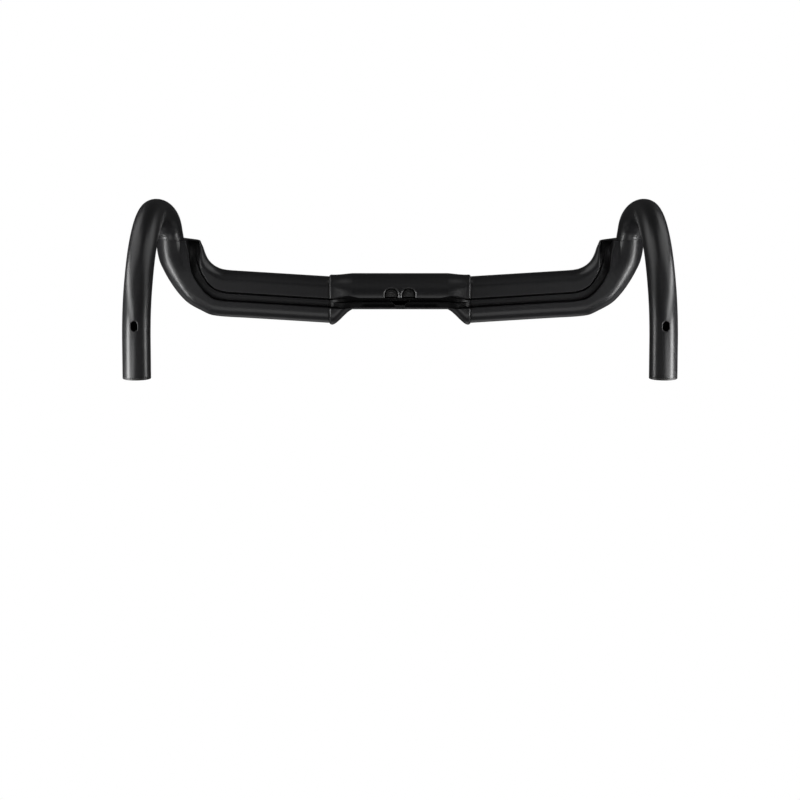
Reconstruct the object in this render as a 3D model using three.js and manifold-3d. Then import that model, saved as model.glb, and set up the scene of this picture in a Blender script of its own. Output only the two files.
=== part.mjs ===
// Drop handlebar, flared drops, wing-shaped tops with an open hose channel underneath.
// Millimetres. +X rider's right, +Y forward, +Z up.
// Origin: middle of the topmost facet of the 31.8 mm stem clamp zone, at mid width.
import * as THREE from 'three';
import Module from 'manifold-3d';
import { mergeVertices } from 'three/addons/utils/BufferGeometryUtils.js';

// ---------------------------------------------------------------- driving dimensions
const JOINT_GAP = 0.3;             // glue line between mouldings
const CLAMP_R = 15.9;              // stem clamp radius
const CLAMP_WALL = 3.0;            // laminate in the clamp zone
const COLLAR_X = 61.9;             // outboard face of the collar, from the middle
const COLLAR_PROUD = 1.6;          // collar height over the wing skin
const COLLAR_CHAMFER = 1.5;        // bevel of the collar's outboard edge
const BEVEL_X = COLLAR_X - COLLAR_CHAMFER;

const WING_X = COLLAR_X + JOINT_GAP; // inboard face of the wing
const WING_WALL = 2.2;             // laminate of the wings
const WING_BELOW = 10.5;           // half thickness under the chord plane
const WING_ABOVE = 10.2;           // half thickness over it
const WING_FRONT_ROUND = 8;        // length of the front edge's rounding
const WING_REAR_ROUND = 11;        // length of the rear edge's rounding

const CHANNEL_FLOOR_CLAMP = -10.3; // height of the channel floor in the clamp zone
const CHANNEL_FLOOR_WING = -5.5;   // height of the channel floor in the wing
const GROOVE_EDGE = 0.45;          // softened edge of the hose channel
const SHELF_DROP = 0.8;            // rear shelf of the channel, above the underside
const BORE_CLEAR = 2.3;            // laminate between the channel floor and the bore

const TUBE_R = 11.9;               // ramp and drop tube radius
const TUBE_WALL = 1.9;             // laminate of the drops
const RAMP_OUT_DEG = 8;            // the ramp tube leaves the wing this far outwards
const END_TILT_DEG = 3;            // the drop's last straight points down by this much
const DROP_STRAIGHT = 34;          // straight length at the drop's end
const HOLE_FROM_END = 43.5;        // wire hole centre to tube end
const HOLE_W = 5.8;                // wire hole, across the tube
const HOLE_L = 8.4;                // wire hole, along the tube
const FLANGE_GAP = 0.3;            // tube end to end plug flange
const FLANGE_T = 1.6;              // end plug flange

// Outline samples, in the order they follow each other round a section.
const N_FRONT = 6;                 // front underside
const N_CHANNEL = 9;               // hose channel
const N_REAR = 7;                  // rear underside
const N_TOP = 10;                  // top
const TUBE_SIDES = 18;

const wasm = await Module();
wasm.setup();

// ---------------------------------------------------------------- small maths
const rad = THREE.MathUtils.degToRad;
const clamp01 = (t) => Math.min(1, Math.max(0, t));
const lerp = (from, to, t) => from + (to - from) * t;
const smooth = (t) => {
  const u = clamp01(t);
  return u * u * (3 - 2 * u);
};
// n + 1 evenly spaced values, ends included.
const steps = (from, to, n) => Array.from({ length: n + 1 }, (_, i) => lerp(from, to, i / n));
const mix = (ptsA, ptsB, t) =>
  ptsA.map(([a, z], i) => [lerp(a, ptsB[i][0], t), lerp(z, ptsB[i][1], t)]);

// Monotone cubic table lookup.
function table(xs, ys) {
  const last = xs.length - 1;
  const slopes = steps(0, last - 1, last - 1)
    .map((_, i) => (ys[i + 1] - ys[i]) / (xs[i + 1] - xs[i]));
  const tangents = [slopes[0]];
  for (let i = 1; i < last; i++) {
    const product = slopes[i - 1] * slopes[i];
    tangents.push(product <= 0 ? 0 : 2 * product / (slopes[i - 1] + slopes[i]));
  }
  tangents.push(slopes[last - 1]);
  return (x) => {
    if (x <= xs[0]) return ys[0];
    if (x >= xs[last]) return ys[last];
    let i = 0;
    while (x > xs[i + 1]) i++;
    const width = xs[i + 1] - xs[i];
    const t = (x - xs[i]) / width;
    const bend = tangents[i] * t * (1 - t) * (1 - t) - tangents[i + 1] * t * t * (1 - t);
    return lerp(ys[i], ys[i + 1], smooth(t)) + width * bend;
  };
}

// count points along a fine polyline, spaced by length and by turning together, ends included.
function resample(pts, count, turnWeight = 6) {
  const turns = pts.map(([a, z], i) => {
    if (i === 0 || i === pts.length - 1) return 0;
    const inA = a - pts[i - 1][0];
    const inZ = z - pts[i - 1][1];
    const outA = pts[i + 1][0] - a;
    const outZ = pts[i + 1][1] - z;
    return Math.abs(Math.atan2(inA * outZ - inZ * outA, inA * outA + inZ * outZ));
  });
  const weights = [0];
  for (let i = 1; i < pts.length; i++) {
    const length = Math.hypot(pts[i][0] - pts[i - 1][0], pts[i][1] - pts[i - 1][1]);
    weights.push(weights[i - 1] + length + turnWeight * (turns[i - 1] + turns[i]) / 2);
  }
  const last = weights.length - 1;
  return Array.from({ length: count }, (_, k) => {
    const target = weights[last] * k / (count - 1);
    let i = 1;
    while (i < last && weights[i] < target) i++;
    const t = (target - weights[i - 1]) / (weights[i] - weights[i - 1] || 1);
    return [lerp(pts[i - 1][0], pts[i][0], t), lerp(pts[i - 1][1], pts[i][1], t)];
  });
}
// The top shares its end points with the undersides, so they are left out.
const resampleTop = (pts) => resample(pts, N_TOP + 2).slice(1, -1);

// ---------------------------------------------------------------- closed bodies from rings
function flipped(index) {
  for (let i = 0; i < index.length; i += 3) {
    [index[i], index[i + 1]] = [index[i + 1], index[i]];
  }
  return index;
}

function volume(pos, index) {
  const corner = (i) => new THREE.Vector3().fromArray(pos, 3 * i);
  let sum = 0;
  for (let i = 0; i < index.length; i += 3) {
    sum += corner(index[i]).dot(corner(index[i + 1]).cross(corner(index[i + 2])));
  }
  return sum / 6;
}

// Indexed geometry with its faces turned outwards.
function body(pos, index) {
  if (volume(pos, index) < 0) flipped(index);
  const geo = new THREE.BufferGeometry();
  geo.setAttribute('position', new THREE.Float32BufferAttribute(pos, 3));
  geo.setIndex(index);
  return geo;
}

// Shell between outer rings and inner rings, open through both ends.
function shell(outer, inner) {
  const n = outer[0].length;
  const rows = outer.length;
  const pos = [...outer, ...inner].flat().flatMap((v) => [v.x, v.y, v.z]);
  const index = [];
  const at = (row, i) => row * n + (i % n);
  const quad = (a, b, c, d) => index.push(a, b, c, a, c, d);
  for (let r = 0; r < rows - 1; r++) {
    const s = rows + r;
    for (let i = 0; i < n; i++) {
      quad(at(r, i), at(r, i + 1), at(r + 1, i + 1), at(r + 1, i));
      quad(at(s, i + 1), at(s, i), at(s + 1, i), at(s + 1, i + 1));
    }
  }
  const lastOuter = rows - 1;
  const lastInner = 2 * rows - 1;
  for (let i = 0; i < n; i++) {
    quad(at(rows, i), at(rows, i + 1), at(0, i + 1), at(0, i));
    quad(at(lastOuter, i), at(lastOuter, i + 1), at(lastInner, i + 1), at(lastInner, i));
  }
  return body(pos, index);
}

function mirrored(geo) {
  const copy = geo.clone();
  const pos = copy.attributes.position;
  for (let i = 0; i < pos.count; i++) pos.setX(i, -pos.getX(i));
  copy.setIndex(flipped([...copy.index.array]));
  return copy;
}

// ---------------------------------------------------------------- booleans
// Positions only, coincident vertices joined.
function welded(geo) {
  const copy = geo.clone();
  copy.deleteAttribute('normal');
  copy.deleteAttribute('uv');
  return mergeVertices(copy, 1e-4);
}

function solid(geo) {
  const source = welded(geo);
  const mesh = new wasm.Mesh({
    numProp: 3,
    vertProperties: new Float32Array(source.attributes.position.array),
    triVerts: new Uint32Array(source.index.array),
  });
  mesh.merge();
  return new wasm.Manifold(mesh);
}

function toGeo(manifold) {
  const mesh = manifold.getMesh();
  const geo = new THREE.BufferGeometry();
  const pos = Array.from(mesh.vertProperties);
  geo.setAttribute('position', new THREE.Float32BufferAttribute(pos, 3));
  geo.setIndex(Array.from(mesh.triVerts));
  return geo;
}

function prism(shape, bottom, top) {
  const geo = new THREE.ExtrudeGeometry(shape, { depth: top - bottom, bevelEnabled: false });
  geo.translate(0, 0, bottom);
  return geo;
}

// ---------------------------------------------------------------- section outlines
// An outline lies in an upright plane: a runs from the front edge (0) to the rear edge, z is up.
// A section holds:
//   length                 chord
//   below, above           half thickness under and over the chord plane
//   frontRound, rearRound  length of the edge roundings
//   chanFront, chanRear    channel
//   shelfFront             start of the channel's rear shelf
//   floorZ                 channel floor
//   shelfShare             0 = flat floor, 1 = shelf near the skin
//   lift                   0..1, raises the front underside of a bore clear of the channel
function outline(section, inset = 0) {
  const { chanRear, shelfFront, shelfShare, lift = 0 } = section;
  const length = section.length - 2 * inset;
  const below = section.below - inset;
  const above = section.above - inset;
  const frontRound = Math.max(section.frontRound - inset, 1);
  const rearRound = Math.max(section.rearRound - inset, 1);
  const chanFront = section.chanFront - 2 * inset;
  const floorZ = section.floorZ + inset;

  const fullness = (a) => {
    let t = 0;
    if (a < frontRound) t = (frontRound - a) / frontRound;
    else if (a > length - rearRound) t = (a - length + rearRound) / rearRound;
    return Math.sqrt(Math.max(0, 1 - t ** 2));
  };
  const underZ = (a) => -below * fullness(a);
  const topZ = (a) => above * fullness(a);
  const shelfZ = (a) => {
    const nearSkin = underZ(a) + SHELF_DROP;
    return Math.max(lerp(floorZ, nearSkin, shelfShare), Math.min(nearSkin, floorZ));
  };
  // Finer steps towards the round ends.
  const curve = (from, to, heightAt) => steps(0, Math.PI, 90).map((angle) => {
    const a = lerp(from, to, (1 - Math.cos(angle)) / 2);
    return [a, heightAt(a)];
  });

  const front = resample(curve(0, chanFront - GROOVE_EDGE, underZ), N_FRONT)
    .map(([a, z]) => [a, lerp(z, Math.max(z, floorZ), lift)]);
  const channel = [
    [chanFront, lerp(underZ(chanFront) + GROOVE_EDGE, floorZ - 0.01, lift)],
    [chanFront + 0.5, floorZ - 0.5 * (1 - lift)],
    [chanFront + 1.1, floorZ],
    [shelfFront - 0.9, floorZ],
    [shelfFront - 0.1, lerp(floorZ, shelfZ(shelfFront) + 0.3, 0.9)],
    [shelfFront + 0.6, shelfZ(shelfFront + 0.6)],
    [chanRear - 0.9, shelfZ(chanRear - 0.9)],
    [chanRear - 0.3, shelfZ(chanRear - 0.3) - 0.3 * (1 - shelfShare)],
    [chanRear, underZ(chanRear) + GROOVE_EDGE * (1 - 0.6 * shelfShare)],
  ];
  const rear = resample(curve(chanRear + GROOVE_EDGE, length, underZ), N_REAR);
  const top = resampleTop(curve(length, 0, topZ));
  return [...front, ...channel, ...rear, ...top].map(([a, z]) => [a + inset, z]);
}

// Bore of the clamp zone: round, with a flat underside that clears the hose channel.
function clampBore(section) {
  const r = CLAMP_R - CLAMP_WALL;
  const flatZ = section.floorZ + BORE_CLEAR;
  const flatHalf = Math.sqrt(r * r - flatZ * flatZ);
  const flatAngle = Math.asin(-flatZ / r);
  const arc = (from, to, n) =>
    steps(from, to, n).map((t) => [CLAMP_R + r * Math.cos(t), r * Math.sin(t)]);
  const flatRear = CLAMP_R + flatHalf;
  const front = [...arc(Math.PI, Math.PI + flatAngle, 30), [CLAMP_R + 1.2, flatZ]];
  const flat = steps(CLAMP_R + 1.9, flatRear - 1.6, N_CHANNEL - 1).map((a) => [a, flatZ]);
  const rear = [[flatRear - 0.9, flatZ], ...arc(2 * Math.PI - flatAngle, 2 * Math.PI, 30)];
  return [
    ...resample(front, N_FRONT),
    ...flat,
    ...resample(rear, N_REAR),
    ...resampleTop(arc(0, Math.PI, 60)),
  ];
}

// ---------------------------------------------------------------- wing stations
// Front edge x, y; rear edge x, y; channel front and rear, measured from the front edge.
// The front edge becomes the inboard side where the wing bends forward.
const WING_STATIONS = [
  [WING_X, 13.2, WING_X, -28.1, 17.5, 26.4],
  [90, 14.95, 90, -26.35, 17.5, 26.35],
  [118, 16.7, 118, -24.6, 17.4, 26.3],
  [138, 17.95, 138, -23.4, 17.35, 26.3],
  [149.6, 18.75, 152.6, -22.6, 17.3, 26.3],
  [155.6, 19.65, 164.6, -21.2, 16.6, 26.2],
  [160.6, 21.6, 175.5, -16.4, 14.6, 24.0],
  [164.4, 24.2, 186.0, -10.2, 11.2, 20.8],
  [167.1, 27.1, 194.0, -2.0, 8.9, 18.6],
  [169.1, 30.3, 200.9, 7.8, 6.4, 16.6],
  [170.7, 33.8, 206.5, 17.8, 4.2, 14.4],
  [172.3, 38.3, 210.9, 28.2, 2.2, 12.7],
  [173.7, 41.2, 212.8, 38.8, 1.3, 12.1],
  [174.9, 44.0, 213.3, 48.8, 1.0, 11.8],
];
const LAST_STATION = WING_STATIONS.length - 1;
const [endFrontX, endFrontY, endRearX, endRearY] = WING_STATIONS[LAST_STATION];
const endRear = new THREE.Vector3(endRearX, endRearY, 0);
// Along the wing's end face, and out of it.
const endChord = endRear.clone().sub(new THREE.Vector3(endFrontX, endFrontY, 0)).normalize();
const endNormal = new THREE.Vector3(-endChord.y, endChord.x, 0);
const rampDir = new THREE.Vector3(Math.sin(rad(RAMP_OUT_DEG)), Math.cos(rad(RAMP_OUT_DEG)), 0);
// The end face cuts the tube at a slant, which stretches it along the chord.
const SLANT = 1 / rampDir.dot(endNormal);
const tubeStart = endRear.clone().addScaledVector(endChord, -TUBE_R * SLANT);

// ---------------------------------------------------------------- outlines of the wing's end
function endArc(section, r, degrees) {
  const centre = section.length - TUBE_R * SLANT;
  return degrees.map((deg) => [centre + SLANT * r * Math.cos(rad(deg)), r * Math.sin(rad(deg))]);
}

// The round tube, with the channel's fin on its inboard side.
function endOutline(section) {
  const { chanFront, chanRear } = section;
  const floorZ = 4.6;
  const tipZ = 5.4;       // innermost point of the fin
  const lipZ = 0.9;       // underside of the fin
  const finTopZ = 10.8;
  const finRound = 5.2;   // length of the fin's upper rounding
  const nose = steps(0, Math.PI / 2, 20).map((t) => [
    (chanFront - 0.1) * (1 - Math.cos(t)),
    tipZ - (tipZ - lipZ) * Math.sin(t),
  ]);
  const channel = [
    [chanFront + 0.3, lipZ + 0.5],
    [chanFront + 0.8, floorZ - 0.6],
    [chanFront + 1.5, floorZ],
    [lerp(chanFront, chanRear, 0.35), floorZ],
    [lerp(chanFront, chanRear, 0.5), floorZ],
    [lerp(chanFront, chanRear, 0.65), floorZ],
    [chanRear - 1.3, floorZ],
    [chanRear - 0.6, floorZ - 0.7],
    [chanRear, lipZ + 0.4],
  ];
  const low = [
    [chanRear + 0.9, 0.3],
    [section.length - 2 * SLANT * TUBE_R - 0.05, -0.6],
    ...endArc(section, TUBE_R, steps(186, 360, 60)),
  ];
  const top = [
    ...endArc(section, TUBE_R, steps(0, 97, 60)),
    [8, 10.9],
    ...steps(0, Math.PI / 2, 24).map((t) => [
      finRound - finRound * Math.sin(t),
      tipZ + (finTopZ - tipZ) * Math.cos(t),
    ]),
  ];
  return [
    ...resample(nose, N_FRONT, 2),
    ...channel,
    ...resample(low, N_REAR),
    ...resampleTop(top),
  ];
}

function endBore(section) {
  return endArc(section, TUBE_R - TUBE_WALL, [
    ...steps(172, 184, N_FRONT).slice(0, -1),
    ...steps(184, 200, N_CHANNEL).slice(0, -1),
    ...steps(200, 360, N_REAR - 1),
    ...steps(0, 172, N_TOP + 1).slice(1, -1),
  ]);
}

// ---------------------------------------------------------------- centre section
// Share of the wing shape by x: 0 = round clamp zone, 1 = collar.
const wingShare = table(
  [42, 45, 48.4, 52.8, 56.3, 58.5, 60],
  [0, 0.13, 0.335, 0.65, 0.87, 0.97, 1],
);
// The wing's straight edges, as lines through EDGE_X.
const EDGE_X = 62;
const frontEdgeY = (x) => 13.2 + (x - EDGE_X) * 0.0625;
const rearEdgeY = (x) => -28.1 + (x - EDGE_X) * 0.0618;
// Channel edges: y in the clamp zone, distance behind the front edge at the collar.
const CHANNEL = {
  front: { clampY: -3.25, behindEdge: 17.5 },
  shelf: { clampY: -7.5, behindEdge: 22 },
  rear: { clampY: -12.85, behindEdge: 26.4 },
};
const BEVEL_DEPTH = 0.94;  // share of the collar's height that its bevel takes off

// Front edge y, wall and section at x.
function centreSection(x) {
  const share = wingShare(x);
  const proud = COLLAR_PROUD * (1 - clamp01((x - BEVEL_X) / COLLAR_CHAMFER) * BEVEL_DEPTH);
  const blend = (clampValue, wingValue) => lerp(clampValue, wingValue, share);
  const frontY = blend(CLAMP_R, frontEdgeY(x) + proud);
  const rearY = blend(-CLAMP_R, rearEdgeY(x) - proud);
  const fromFront = ({ clampY, behindEdge }) =>
    frontY - blend(clampY, frontEdgeY(x) - behindEdge);
  const section = {
    length: frontY - rearY,
    below: blend(CLAMP_R, WING_BELOW + proud),
    above: blend(CLAMP_R, WING_ABOVE + proud),
    frontRound: blend(CLAMP_R, WING_FRONT_ROUND + proud),
    rearRound: blend(CLAMP_R, WING_REAR_ROUND + proud),
    chanFront: fromFront(CHANNEL.front),
    chanRear: fromFront(CHANNEL.rear),
    shelfFront: fromFront(CHANNEL.shelf),
    floorZ: lerp(CHANNEL_FLOOR_CLAMP, CHANNEL_FLOOR_WING, smooth((x - 40) / 20)),
    shelfShare: 1 - smooth((x - 34) / 20),
  };
  return { frontY, wall: blend(CLAMP_WALL, WING_WALL + proud), section };
}

const CENTRE_X = [24, 34, 38, 42, 45, 48, 51, 54, 57, BEVEL_X, COLLAR_X];
// Uneven, so that one facet of the clamp zone holds the mid width.
const MIDDLE_X = [-6, 14];
const CLAMP_TOP = Math.max(...outline(centreSection(0).section).map(([, z]) => z));

const ringAt = (x, frontY, pts) => pts.map(([a, z]) => new THREE.Vector3(x, frontY - a, z));

function centreRing(x) {
  const { frontY, section } = centreSection(Math.abs(x));
  return ringAt(x, frontY, outline(section));
}

function centreBoreRing(x) {
  const { frontY, wall, section } = centreSection(Math.abs(x));
  const share = smooth((Math.abs(x) - 46.5) / 9);
  return ringAt(x, frontY, mix(clampBore(section), outline(section, wall), share));
}

// Two arched ports in the underside, either side of a thin web.
const PORT = { inner: 1.75, outer: 13.4, rear: -4.2, front: 5.1, archSquash: 0.86 };
const CUT_BOTTOM = -20;    // below the bar
const PORT_CUT_TOP = -6;
const FUNNEL_CUT_TOP = -6.4; // through into the bore

function archShape(shrink) {
  const inner = PORT.inner + shrink;
  const outer = PORT.outer - shrink;
  const rear = PORT.rear + shrink;
  const r = (outer - inner) / 2;
  const rise = r * PORT.archSquash;
  const springY = PORT.front - shrink - rise;
  const shape = new THREE.Shape();
  shape.moveTo(inner, rear);
  shape.lineTo(outer, rear);
  for (const t of steps(0, Math.PI, 12)) {
    shape.lineTo((inner + outer) / 2 + r * Math.cos(t), springY + rise * Math.sin(t));
  }
  shape.lineTo(inner, rear);
  return shape;
}

// Where the hoses leave rearwards: half width, y.
const FUNNEL_EDGE = [
  [8.6, -6.4], [6.9, -8.2], [5.2, -9.6], [4.3, -11.2], [4.0, -13], [4.0, -18],
];
function funnelShape() {
  const shape = new THREE.Shape();
  shape.moveTo(-FUNNEL_EDGE[0][0], FUNNEL_EDGE[0][1]);
  for (const [x, y] of FUNNEL_EDGE) shape.lineTo(x, y);
  for (const [x, y] of [...FUNNEL_EDGE].reverse()) shape.lineTo(-x, y);
  return shape;
}

function centreGeo() {
  const xs = [...[...CENTRE_X].reverse().map((x) => -x), ...MIDDLE_X, ...CENTRE_X];
  const portCut = prism(archShape(0), CUT_BOTTOM, PORT_CUT_TOP);
  return toGeo(solid(shell(xs.map(centreRing), xs.map(centreBoreRing)))
    .subtract(solid(portCut))
    .subtract(solid(mirrored(welded(portCut))))
    .subtract(solid(prism(funnelShape(), CUT_BOTTOM, FUNNEL_CUT_TOP))));
}

// Blanking plug of a port: arched block with a crowned outer face.
const PLUG_GAP = 0.3;
const PLUG_CROWN = 0.35;
// Height, shrink beyond the gap, rear edge y; from the outer face inwards.
const PLUG_RINGS = [
  [-12.5, 2.2, -1.4],
  [-11.9, 0.9, -2.4],
  [-7.8, 0, -3.0],
];
function portPlugGeo() {
  const rings = PLUG_RINGS.map(([z, shrink, rearY]) =>
    archShape(PLUG_GAP + shrink).getPoints(1).slice(0, -1)
      .map((point) => new THREE.Vector3(point.x, Math.max(point.y, rearY), z)));
  const n = rings[0].length;
  const lastBase = (rings.length - 1) * n;
  const lowIndex = rings.length * n;
  const middle = (ring) =>
    ring.reduce((sum, v) => sum.add(v), new THREE.Vector3()).multiplyScalar(1 / n);
  const low = middle(rings[0]);
  const high = middle(rings[rings.length - 1]);
  low.z -= PLUG_CROWN;
  const pos = [...rings.flat(), low, high].flatMap((v) => [v.x, v.y, v.z]);
  const index = [];
  for (let base = 0; base < lastBase; base += n) {
    for (let i = 0; i < n; i++) {
      const a = base + i;
      const b = base + (i + 1) % n;
      index.push(a, b, b + n, a, b + n, a + n);
    }
  }
  for (let i = 0; i < n; i++) {
    const next = (i + 1) % n;
    index.push(lowIndex, next, i);
    index.push(lowIndex + 1, lastBase + i, lastBase + next);
  }
  return body(pos, index);
}

// ---------------------------------------------------------------- wing
// Distance of each station along the wing's mid line.
const stationS = [0];
for (let i = 1; i <= LAST_STATION; i++) {
  const [midX, midY] = [0, 1].map((k) => {
    const middle = (row) => (row[k] + row[k + 2]) / 2;
    return middle(WING_STATIONS[i]) - middle(WING_STATIONS[i - 1]);
  });
  stationS.push(stationS[i - 1] + Math.hypot(midX, midY));
}
const stationColumns = WING_STATIONS[0]
  .map((_, k) => table(stationS, WING_STATIONS.map((row) => row[k])));
// How far s has come from one station to another, 0..1.
const between = (s, from, to) =>
  clamp01((s - stationS[from]) / (stationS[to] - stationS[from]));

function wingSection(s) {
  const [frontX, frontY, rearX, rearY, chanFront, chanRear] = stationColumns.map((f) => f(s));
  const grow = smooth(between(s, 4, 9)); // the wing thickens to the tube's diameter
  const section = {
    length: Math.hypot(frontX - rearX, frontY - rearY),
    below: lerp(WING_BELOW, TUBE_R, grow),
    above: lerp(WING_ABOVE, TUBE_R - 0.2, grow),
    frontRound: Math.min(lerp(WING_FRONT_ROUND, 6.5, grow), Math.max(chanFront - 0.2, 1)),
    rearRound: lerp(WING_REAR_ROUND, TUBE_R, grow),
    chanFront,
    chanRear,
    shelfFront: (chanFront + chanRear) / 2,
    floorZ: CHANNEL_FLOOR_WING - grow,
    shelfShare: 0,
  };
  return { frontX, frontY, rearX, rearY, section };
}

function wingSkin(s, section) {
  const t = between(s, 9, LAST_STATION);
  return mix(outline(section), endOutline(section), lerp(t, smooth(t), 0.4));
}

function wingBore(s, section, inset) {
  const boreSection = {
    ...section,
    frontRound: Math.max(section.frontRound, 5),
    chanFront: Math.max(section.chanFront, 2 * inset + 3.4),
    lift: smooth(between(s, 5, 7)),
  };
  return mix(outline(boreSection, inset), endBore(section), smooth(between(s, 7, 10)));
}

function wingRing(s, inset = 0) {
  const { frontX, frontY, rearX, rearY, section } = wingSection(s);
  const dirX = (rearX - frontX) / section.length;
  const dirY = (rearY - frontY) / section.length;
  const pts = inset > 0 ? wingBore(s, section, inset) : wingSkin(s, section);
  return pts.map(([a, z]) => new THREE.Vector3(frontX + dirX * a, frontY + dirY * a, z));
}

function wingGeo() {
  // Rings at stations (halves lie midway), closer together in the bend.
  const places = [0, 2, 3, 3.5, 4, 5, 6, 6.5, 7, 7.5, 8, 8.5, 9, 10, 11, 12, 13];
  const ringS = places.map((k) => (stationS[Math.floor(k)] + stationS[Math.ceil(k)]) / 2);
  return shell(ringS.map((s) => wingRing(s)), ringS.map((s) => wingRing(s, WING_WALL)));
}

// Bonding ferrule between the centre and a wing: follows both bores, clear of them.
const WING_FERRULE_X = [57, BEVEL_X, WING_X, 76];
const WING_FERRULE_CLEAR = { outer: 0.5, inner: 1.8 };
function wingFerruleGeo() {
  const rings = (clear) => WING_FERRULE_X.map((x) => {
    if (x >= WING_X) return wingRing(x - WING_X, WING_WALL + clear);
    const { frontY, wall, section } = centreSection(x);
    return ringAt(x, frontY, outline(section, wall + clear));
  });
  return shell(rings(WING_FERRULE_CLEAR.outer), rings(WING_FERRULE_CLEAR.inner));
}

// ---------------------------------------------------------------- drops
// Side view of the bend by heading in degrees (0 forward, 90 down, 180 rearward):
// heading from, heading to, radius.
const BENDS = [
  [0, 50, 24.5],
  [50, 90, 34],
  [90, 130, 89],
  [130, 180 - END_TILT_DEG, 97.2],
];
// Flare: x of the tube's centre by heading.
const dropX = table(
  [0, 20, 45, 62, 80, 100, 125, 145, 165, 177],
  [tubeStart.x + 0.5, 202.1, 203.8, 206.5, 210.0, 213.4, 216.2, 218.0, 219.3, 219.6],
);
const endDir = new THREE.Vector3(0, -Math.cos(rad(END_TILT_DEG)), -Math.sin(rad(END_TILT_DEG)));

function bendPoints() {
  const pts = [tubeStart.clone()];
  let { y, z } = tubeStart;
  for (const [from, to, r] of BENDS) {
    const headings = steps(from, to, Math.max(3, Math.round((to - from) / 9)));
    for (let i = 1; i < headings.length; i++) {
      const before = rad(headings[i - 1]);
      const after = rad(headings[i]);
      y += r * (Math.sin(after) - Math.sin(before));
      z -= r * (Math.cos(before) - Math.cos(after));
      pts.push(new THREE.Vector3(dropX(headings[i]), y, z));
    }
  }
  return pts;
}
const bend = bendPoints();
const alongStraight = (share) =>
  bend[bend.length - 1].clone().addScaledVector(endDir, DROP_STRAIGHT * share);
const tubeEnd = alongStraight(1);
const dropCurve = new THREE.CatmullRomCurve3(
  [...bend, alongStraight(0.35), alongStraight(0.7), tubeEnd.clone()], false, 'centripetal',
);
const dropLength = dropCurve.getLength();
const DROP_LEAD = 5;       // from the tube's start to its second ring and to the liner

// The normal starts upwards and is carried along; it ends up on the outside of the bend.
function framesAlong(places, firstTangent, lastTangent) {
  let normal = new THREE.Vector3(0, 0, 1);
  return places.map((u, k) => {
    let tangent = dropCurve.getTangentAt(u);
    if (k === 0 && firstTangent) tangent = firstTangent;
    if (k === places.length - 1 && lastTangent) tangent = lastTangent;
    normal = normal.clone().addScaledVector(tangent, -normal.dot(tangent)).normalize();
    const across = new THREE.Vector3().crossVectors(tangent, normal).normalize();
    return { centre: dropCurve.getPointAt(u), normal, across };
  });
}

function tubeRings(frames, r, sides) {
  return frames.map(({ centre, normal, across }) => Array.from({ length: sides }, (_, i) => {
    const t = 2 * Math.PI * i / sides;
    return centre.clone()
      .addScaledVector(normal, r * Math.cos(t))
      .addScaledVector(across, r * Math.sin(t));
  }));
}
const pipe = (frames, outerR, innerR, sides) =>
  shell(tubeRings(frames, outerR, sides), tubeRings(frames, innerR, sides));

// Wire hole, oval, in the underside near the end.
function wireHoleCut() {
  const r = HOLE_W / 2;
  const half = (HOLE_L - HOLE_W) / 2;
  const oval = new THREE.Shape();
  oval.moveTo(r, -half);
  for (const end of [1, -1]) {
    for (const t of steps(0, Math.PI, 8)) {
      oval.lineTo(end * r * Math.cos(t), end * (half + r * Math.sin(t)));
    }
  }
  const centre = tubeEnd.clone().addScaledVector(endDir, -HOLE_FROM_END);
  const cut = prism(oval, -8, 0);
  cut.rotateX(rad(END_TILT_DEG + 4));
  cut.rotateY(rad(-2.4));
  cut.translate(centre.x + 0.5, centre.y, centre.z - 6.2);
  return cut;
}

function dropGeo() {
  const bendPlaces = steps(DROP_LEAD / dropLength, 1 - DROP_STRAIGHT / dropLength, 20);
  const frames = framesAlong([0, ...bendPlaces, 1], rampDir, endDir);
  // The first ring is parallel to the wing's end face, one glue line away from it.
  frames[0].centre.addScaledVector(endNormal, JOINT_GAP);
  frames[0].across.copy(endChord).multiplyScalar(SLANT);
  const tube = pipe(frames, TUBE_R, TUBE_R - TUBE_WALL, TUBE_SIDES);
  return toGeo(solid(tube).subtract(solid(wireHoleCut())));
}

// Bonding ferrule between a wing and its drop.
function dropFerruleGeo() {
  const up = new THREE.Vector3(0, 0, 1);
  const inWing = [-11, -5.5, 0].map((distance) => ({
    centre: tubeStart.clone().addScaledVector(rampDir, distance),
    normal: up,
    across: new THREE.Vector3().crossVectors(rampDir, up),
  }));
  const inDrop = framesAlong([4, 8, 12].map((distance) => distance / dropLength));
  return pipe([...inWing, ...inDrop], 9.3, 7.9, TUBE_SIDES);
}

// Liner that leads a wire through the drop to the hole.
const LINER = { outerR: 2.6, innerR: 1.8, sides: 7, steps: 15, offset: 4.6, beforeHole: 9 };
function wireLinerGeo() {
  const last = 1 - (HOLE_FROM_END + LINER.beforeHole) / dropLength;
  const frames = framesAlong(steps(DROP_LEAD / dropLength, last, LINER.steps));
  frames.forEach(({ centre, normal }, i) => {
    centre.addScaledVector(normal, LINER.offset * smooth(i / LINER.steps));
  });
  return pipe(frames, LINER.outerR, LINER.innerR, LINER.sides);
}

// ---------------------------------------------------------------- expander plug in the drop's end
// Local +Z points out of the tube, z = 0 is the tube's end face. Profiles are [radius, z].
function lathe(profile, segments) {
  const geo = new THREE.LatheGeometry(profile.map(([r, z]) => new THREE.Vector2(r, z)), segments);
  geo.rotateX(Math.PI / 2);
  const joined = welded(geo);
  return body(Array.from(joined.attributes.position.array), Array.from(joined.index.array));
}

function capGeo() {
  const face = FLANGE_GAP + FLANGE_T;
  return lathe([
    [2.3, -6], [9.4, -6], [9.5, -5.6], [9.5, FLANGE_GAP], [TUBE_R, FLANGE_GAP],
    [TUBE_R, 1.5], [11.5, face], [4.9, face], [4.6, 1.6], [4.6, -1.2], [2.3, -1.2], [2.3, -6],
  ], TUBE_SIDES);
}

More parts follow.
